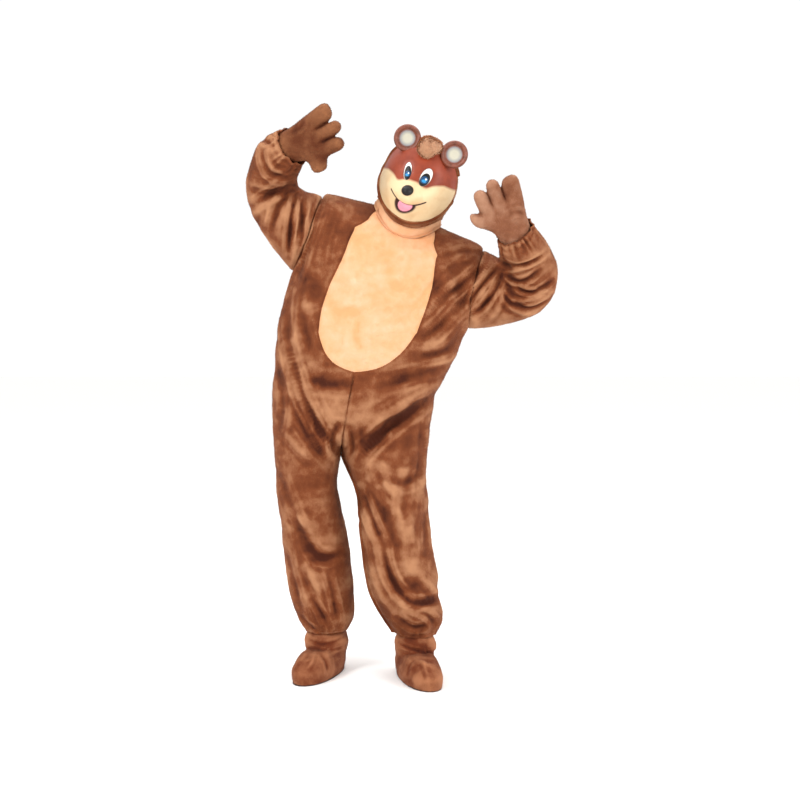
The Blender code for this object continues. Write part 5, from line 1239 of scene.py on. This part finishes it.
def full_mitt(name):
    """A mitt with full fingers that close against each other, open at its wrist."""
    mesh = subdivided(outer_side(name), 2)
    points, normals = read_points(mesh)
    rim = border_of(mesh)
    middle = points[rim].mean(axis=0)
    spokes = points[rim] - middle
    axis = np.linalg.svd(spokes)[2][2]
    axis *= np.sign((points.mean(axis=0) - middle) @ axis)
    along = (points - middle) @ axis
    write_points(mesh, points + normals * (FAT * np.clip(along / FAT_REACH, 0, 1))[:, None])
    bm = bmesh.new()
    bm.from_mesh(mesh)
    bmesh.ops.holes_fill(bm, edges=[edge for edge in bm.edges if edge.is_boundary], sides=0)
    bm.to_mesh(mesh)
    bm.free()
    made = bpy.data.objects.new(name, mesh)
    bpy.context.scene.collection.objects.link(made)
    blend = made.modifiers.new("one skin", "REMESH")
    blend.mode = "VOXEL"
    blend.voxel_size = VOXEL
    soft = made.modifiers.new("soft", "SMOOTH")
    soft.factor = 0.5
    soft.iterations = 4
    mesh = plain_mesh(made)
    bm = bmesh.new()
    bm.from_mesh(mesh)
    bmesh.ops.bisect_plane(bm, geom=bm.verts[:] + bm.edges[:] + bm.faces[:], dist=1e-5,
                           plane_co=Vector(middle + axis * SHOWN_WRIST), plane_no=Vector(axis),
                           clear_inner=True)
    bm.to_mesh(mesh)
    bm.free()
    return mesh


def keep_free(mesh):
    """Stores which points lie on the open edge of a piece."""
    free = np.zeros(len(mesh.vertices), dtype=np.int32)
    free[border_of(mesh)] = 1
    store(mesh, "free", free, "INT")


# the right mitt takes the darker copy of the mitt plush, painted shade; the left takes the plain one
for number, (name, finish, ways) in enumerate((("mitt_right", "shaded_mitt_plush", (0.83, -0.42, 0.34)),
                                               ("mitt_left", "mitt_plush", (-0.42, -0.22, 0.88)))):
    mesh = full_mitt(name)
    crumpled(mesh, MITT_CREASES, MITT_CREASES, 0.8 * MM)
    dress_skin(mesh, np.tile(ways, (len(mesh.vertices), 1)))
    keep_free(mesh)
    sew(Cloth(name, finish, "plush", 0.40, 0.30, 0.075, "stretched", 110000, 0.0044), mesh, 40 + number, True)

# %% [markdown]
# A shoe cover is one layer of thinner plush over a shoe. It bunches up at the ankle, under the trouser's
# lip, so its shaft is made wider there, and its creases run round the ankle and down over the instep.

# %% Shoe covers
SHOE_CREASES = [
    Crease(-0.319, -1.286, -0.261, -1.304, -0.185, -1.286, 0.007, -0.004),
    Crease(-0.310, -1.306, -0.261, -1.317, -0.189, -1.312, 0.007, 0.003),
    Crease(-0.274, -1.320, -0.251, -1.338, -0.242, -1.376, 0.006, -0.004),
    Crease(-0.274, -1.320, -0.298, -1.321, -0.315, -1.329, 0.006, -0.004),
    Crease(-0.315, -1.327, -0.333, -1.336, -0.341, -1.347, 0.007, 0.003),
    Crease(-0.285, -1.321, -0.289, -1.336, -0.306, -1.353, 0.007, 0.003),
    Crease(-0.264, -1.322, -0.227, -1.329, -0.194, -1.329, 0.007, 0.003),
    Crease(-0.028, -1.298, 0.030, -1.316, 0.095, -1.331, 0.007, -0.004),
    Crease(-0.028, -1.313, 0.030, -1.323, 0.095, -1.347, 0.007, 0.003),
    Crease(0.049, -1.324, 0.014, -1.331, -0.001, -1.370, 0.006, -0.004),
    Crease(0.049, -1.324, 0.081, -1.326, 0.102, -1.349, 0.006, -0.004),
    Crease(0.048, -1.321, 0.053, -1.338, 0.067, -1.364, 0.008, 0.003),
    Crease(0.069, -1.322, 0.093, -1.337, 0.104, -1.359, 0.006, 0.003),
]
SHOE_BACK_CREASES = [
    Crease(-0.300, -1.300, -0.240, -1.312, -0.180, -1.300, 0.009, -0.004),
    Crease(-0.290, -1.325, -0.230, -1.335, -0.180, -1.325, 0.009, -0.003),
    Crease(-0.030, -1.300, 0.030, -1.312, 0.090, -1.300, 0.009, -0.004),
    Crease(-0.020, -1.325, 0.030, -1.335, 0.080, -1.325, 0.009, -0.003),
]
SHAFT_FULLNESS = [(-1.345, 0.000), (-1.322, 0.006), (-1.306, 0.008), (-1.290, 0.007), (-1.282, 0.005),
                  (-1.276, 0.000)]


def full_shaft(mesh, elastic):
    """Widens the shaft under the trouser's lip, where the shoe cover bunches up."""
    points = read_points(mesh)[0]
    out = points[:, :2] - (elastic.x, elastic.y)
    radius = np.maximum(np.linalg.norm(out, axis=1), 1 * MM)
    heights, widths = zip(*SHAFT_FULLNESS)
    more = np.interp(points[:, 2], heights, widths)
    more *= 1 + 0.25 * np.sin(3 * np.arctan2(out[:, 1], out[:, 0]) + 60 * points[:, 2])
    points[:, :2] += out * (more / radius)[:, None]
    write_points(mesh, points)


for number, (name, elastic) in enumerate(zip(("shoe_cover_right", "shoe_cover_left"), ELASTICS)):
    mesh = subdivided(outer_side(name), 3)
    full_shaft(mesh, elastic)
    crumpled(mesh, SHOE_CREASES, SHOE_BACK_CREASES, 1.2 * MM)
    dress_skin(mesh, np.tile((0.0, -0.6, -0.8), (len(mesh.vertices), 1)))
    keep_free(mesh)
    sew(Cloth(name, "thin_plush", "thin_plush", 0.34, 0.30, 0.075, "stretched", 120000, 0.0028), mesh,
        50 + number, True)

# %% [markdown]
# The soles are right as they are, so their nodes stay and only get a finish: dark moulded vinyl with a
# grain of about 1.4 mm, dull and scuffed paler in patches.

# %% Soles
def sole_vinyl():
    """Dark brown vinyl with grain and scuffs."""
    made, tree, shader = new_material("sole_vinyl_finish")
    place = add_node(tree, "ShaderNodeTexCoord").outputs["Object"]
    cloud = add_node(tree, "ShaderNodeTexNoise", {"Vector": place, "Scale": 30.0, "Detail": 5.0})
    cloud = cloud.outputs["Fac"]
    grain = add_node(tree, "ShaderNodeTexVoronoi", {"Vector": place, "Scale": 700.0}).outputs["Distance"]
    skin = paint_over(tree, colour("#2B1610"), edge_mask(tree, cloud, 0.5, 0.75), "#4E3023")
    tree.links.new(skin, shader.inputs["Base Color"])
    rough = add_node(tree, "ShaderNodeMapRange", {"Value": cloud, "To Min": 0.5, "To Max": 0.75})
    tree.links.new(rough.outputs["Result"], shader.inputs["Roughness"])
    bump = add_node(tree, "ShaderNodeBump", {"Height": grain, "Strength": 0.4, "Distance": 0.5 * MM})
    tree.links.new(bump.outputs["Normal"], shader.inputs["Normal"])
    return made


SOLE_VINYL = sole_vinyl()
for name in ("sole_right", "sole_left"):
    for slot in NODES[name].material_slots:
        slot.material = SOLE_VINYL
print("soles finished")

# %% [markdown]
# A pale floor under the soles, soft light from both sides and a bright surround give an even studio look.
# The Standard view shows the colours as they were chosen. The camera stands where the photo was taken
# from, at the height of the chest and 4.5 metres away.

# %% Floor, light and camera
FLOOR = -1.403
Lamp = namedtuple("Lamp", "name x y z size power")
LAMPS = [Lamp("key", -2.6, -2.6, 1.8, 1.2, 100), Lamp("fill", 3.0, -2.2, 0.8, 1.6, 70),
         Lamp("top", 0.0, 0.8, 2.8, 3.0, 80)]
SURROUND = 1.04
AIM = Vector((-0.022, 0, -0.553))
CAMERA = Vector((-0.022, -4.5, -0.203))
LENS = 64.99
bpy.ops.mesh.primitive_plane_add(size=30, location=(0, 0, FLOOR))
floor = bpy.context.object
floor.name = "floor"
pale, tree, shader = new_material("pale_floor")
shader.inputs["Base Color"].default_value = colour("#FBFAF8")
shader.inputs["Roughness"].default_value = 0.8
floor.data.materials.append(pale)
floor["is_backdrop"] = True
for lamp in LAMPS:
    light = bpy.data.objects.new(lamp.name, bpy.data.lights.new(lamp.name, "AREA"))
    light.data.size = lamp.size
    light.data.energy = lamp.power
    light.location = (lamp.x, lamp.y, lamp.z)
    light.rotation_euler = (AIM - light.location).to_track_quat("-Z", "Y").to_euler()
    bpy.context.scene.collection.objects.link(light)
world = bpy.data.worlds.new("studio")
world.use_nodes = True
world.node_tree.nodes["Background"].inputs["Color"].default_value = (1, 1, 1, 1)
world.node_tree.nodes["Background"].inputs["Strength"].default_value = SURROUND
bpy.context.scene.world = world
bpy.context.scene.view_settings.view_transform = "Standard"
camera = bpy.data.objects.new("camera", bpy.data.cameras.new("camera"))
camera.data.lens = LENS
camera.data.sensor_width = 36
camera.location = CAMERA
camera.rotation_euler = (AIM - camera.location).to_track_quat("-Z", "Y").to_euler()
bpy.context.scene.collection.objects.link(camera)
bpy.context.scene.camera = camera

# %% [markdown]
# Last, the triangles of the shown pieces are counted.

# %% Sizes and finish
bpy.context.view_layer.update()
total = sum(len(polygon.vertices) - 2 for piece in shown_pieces() if piece.type == "MESH"
            for polygon in piece.data.polygons)
print("triangles in all:", total)
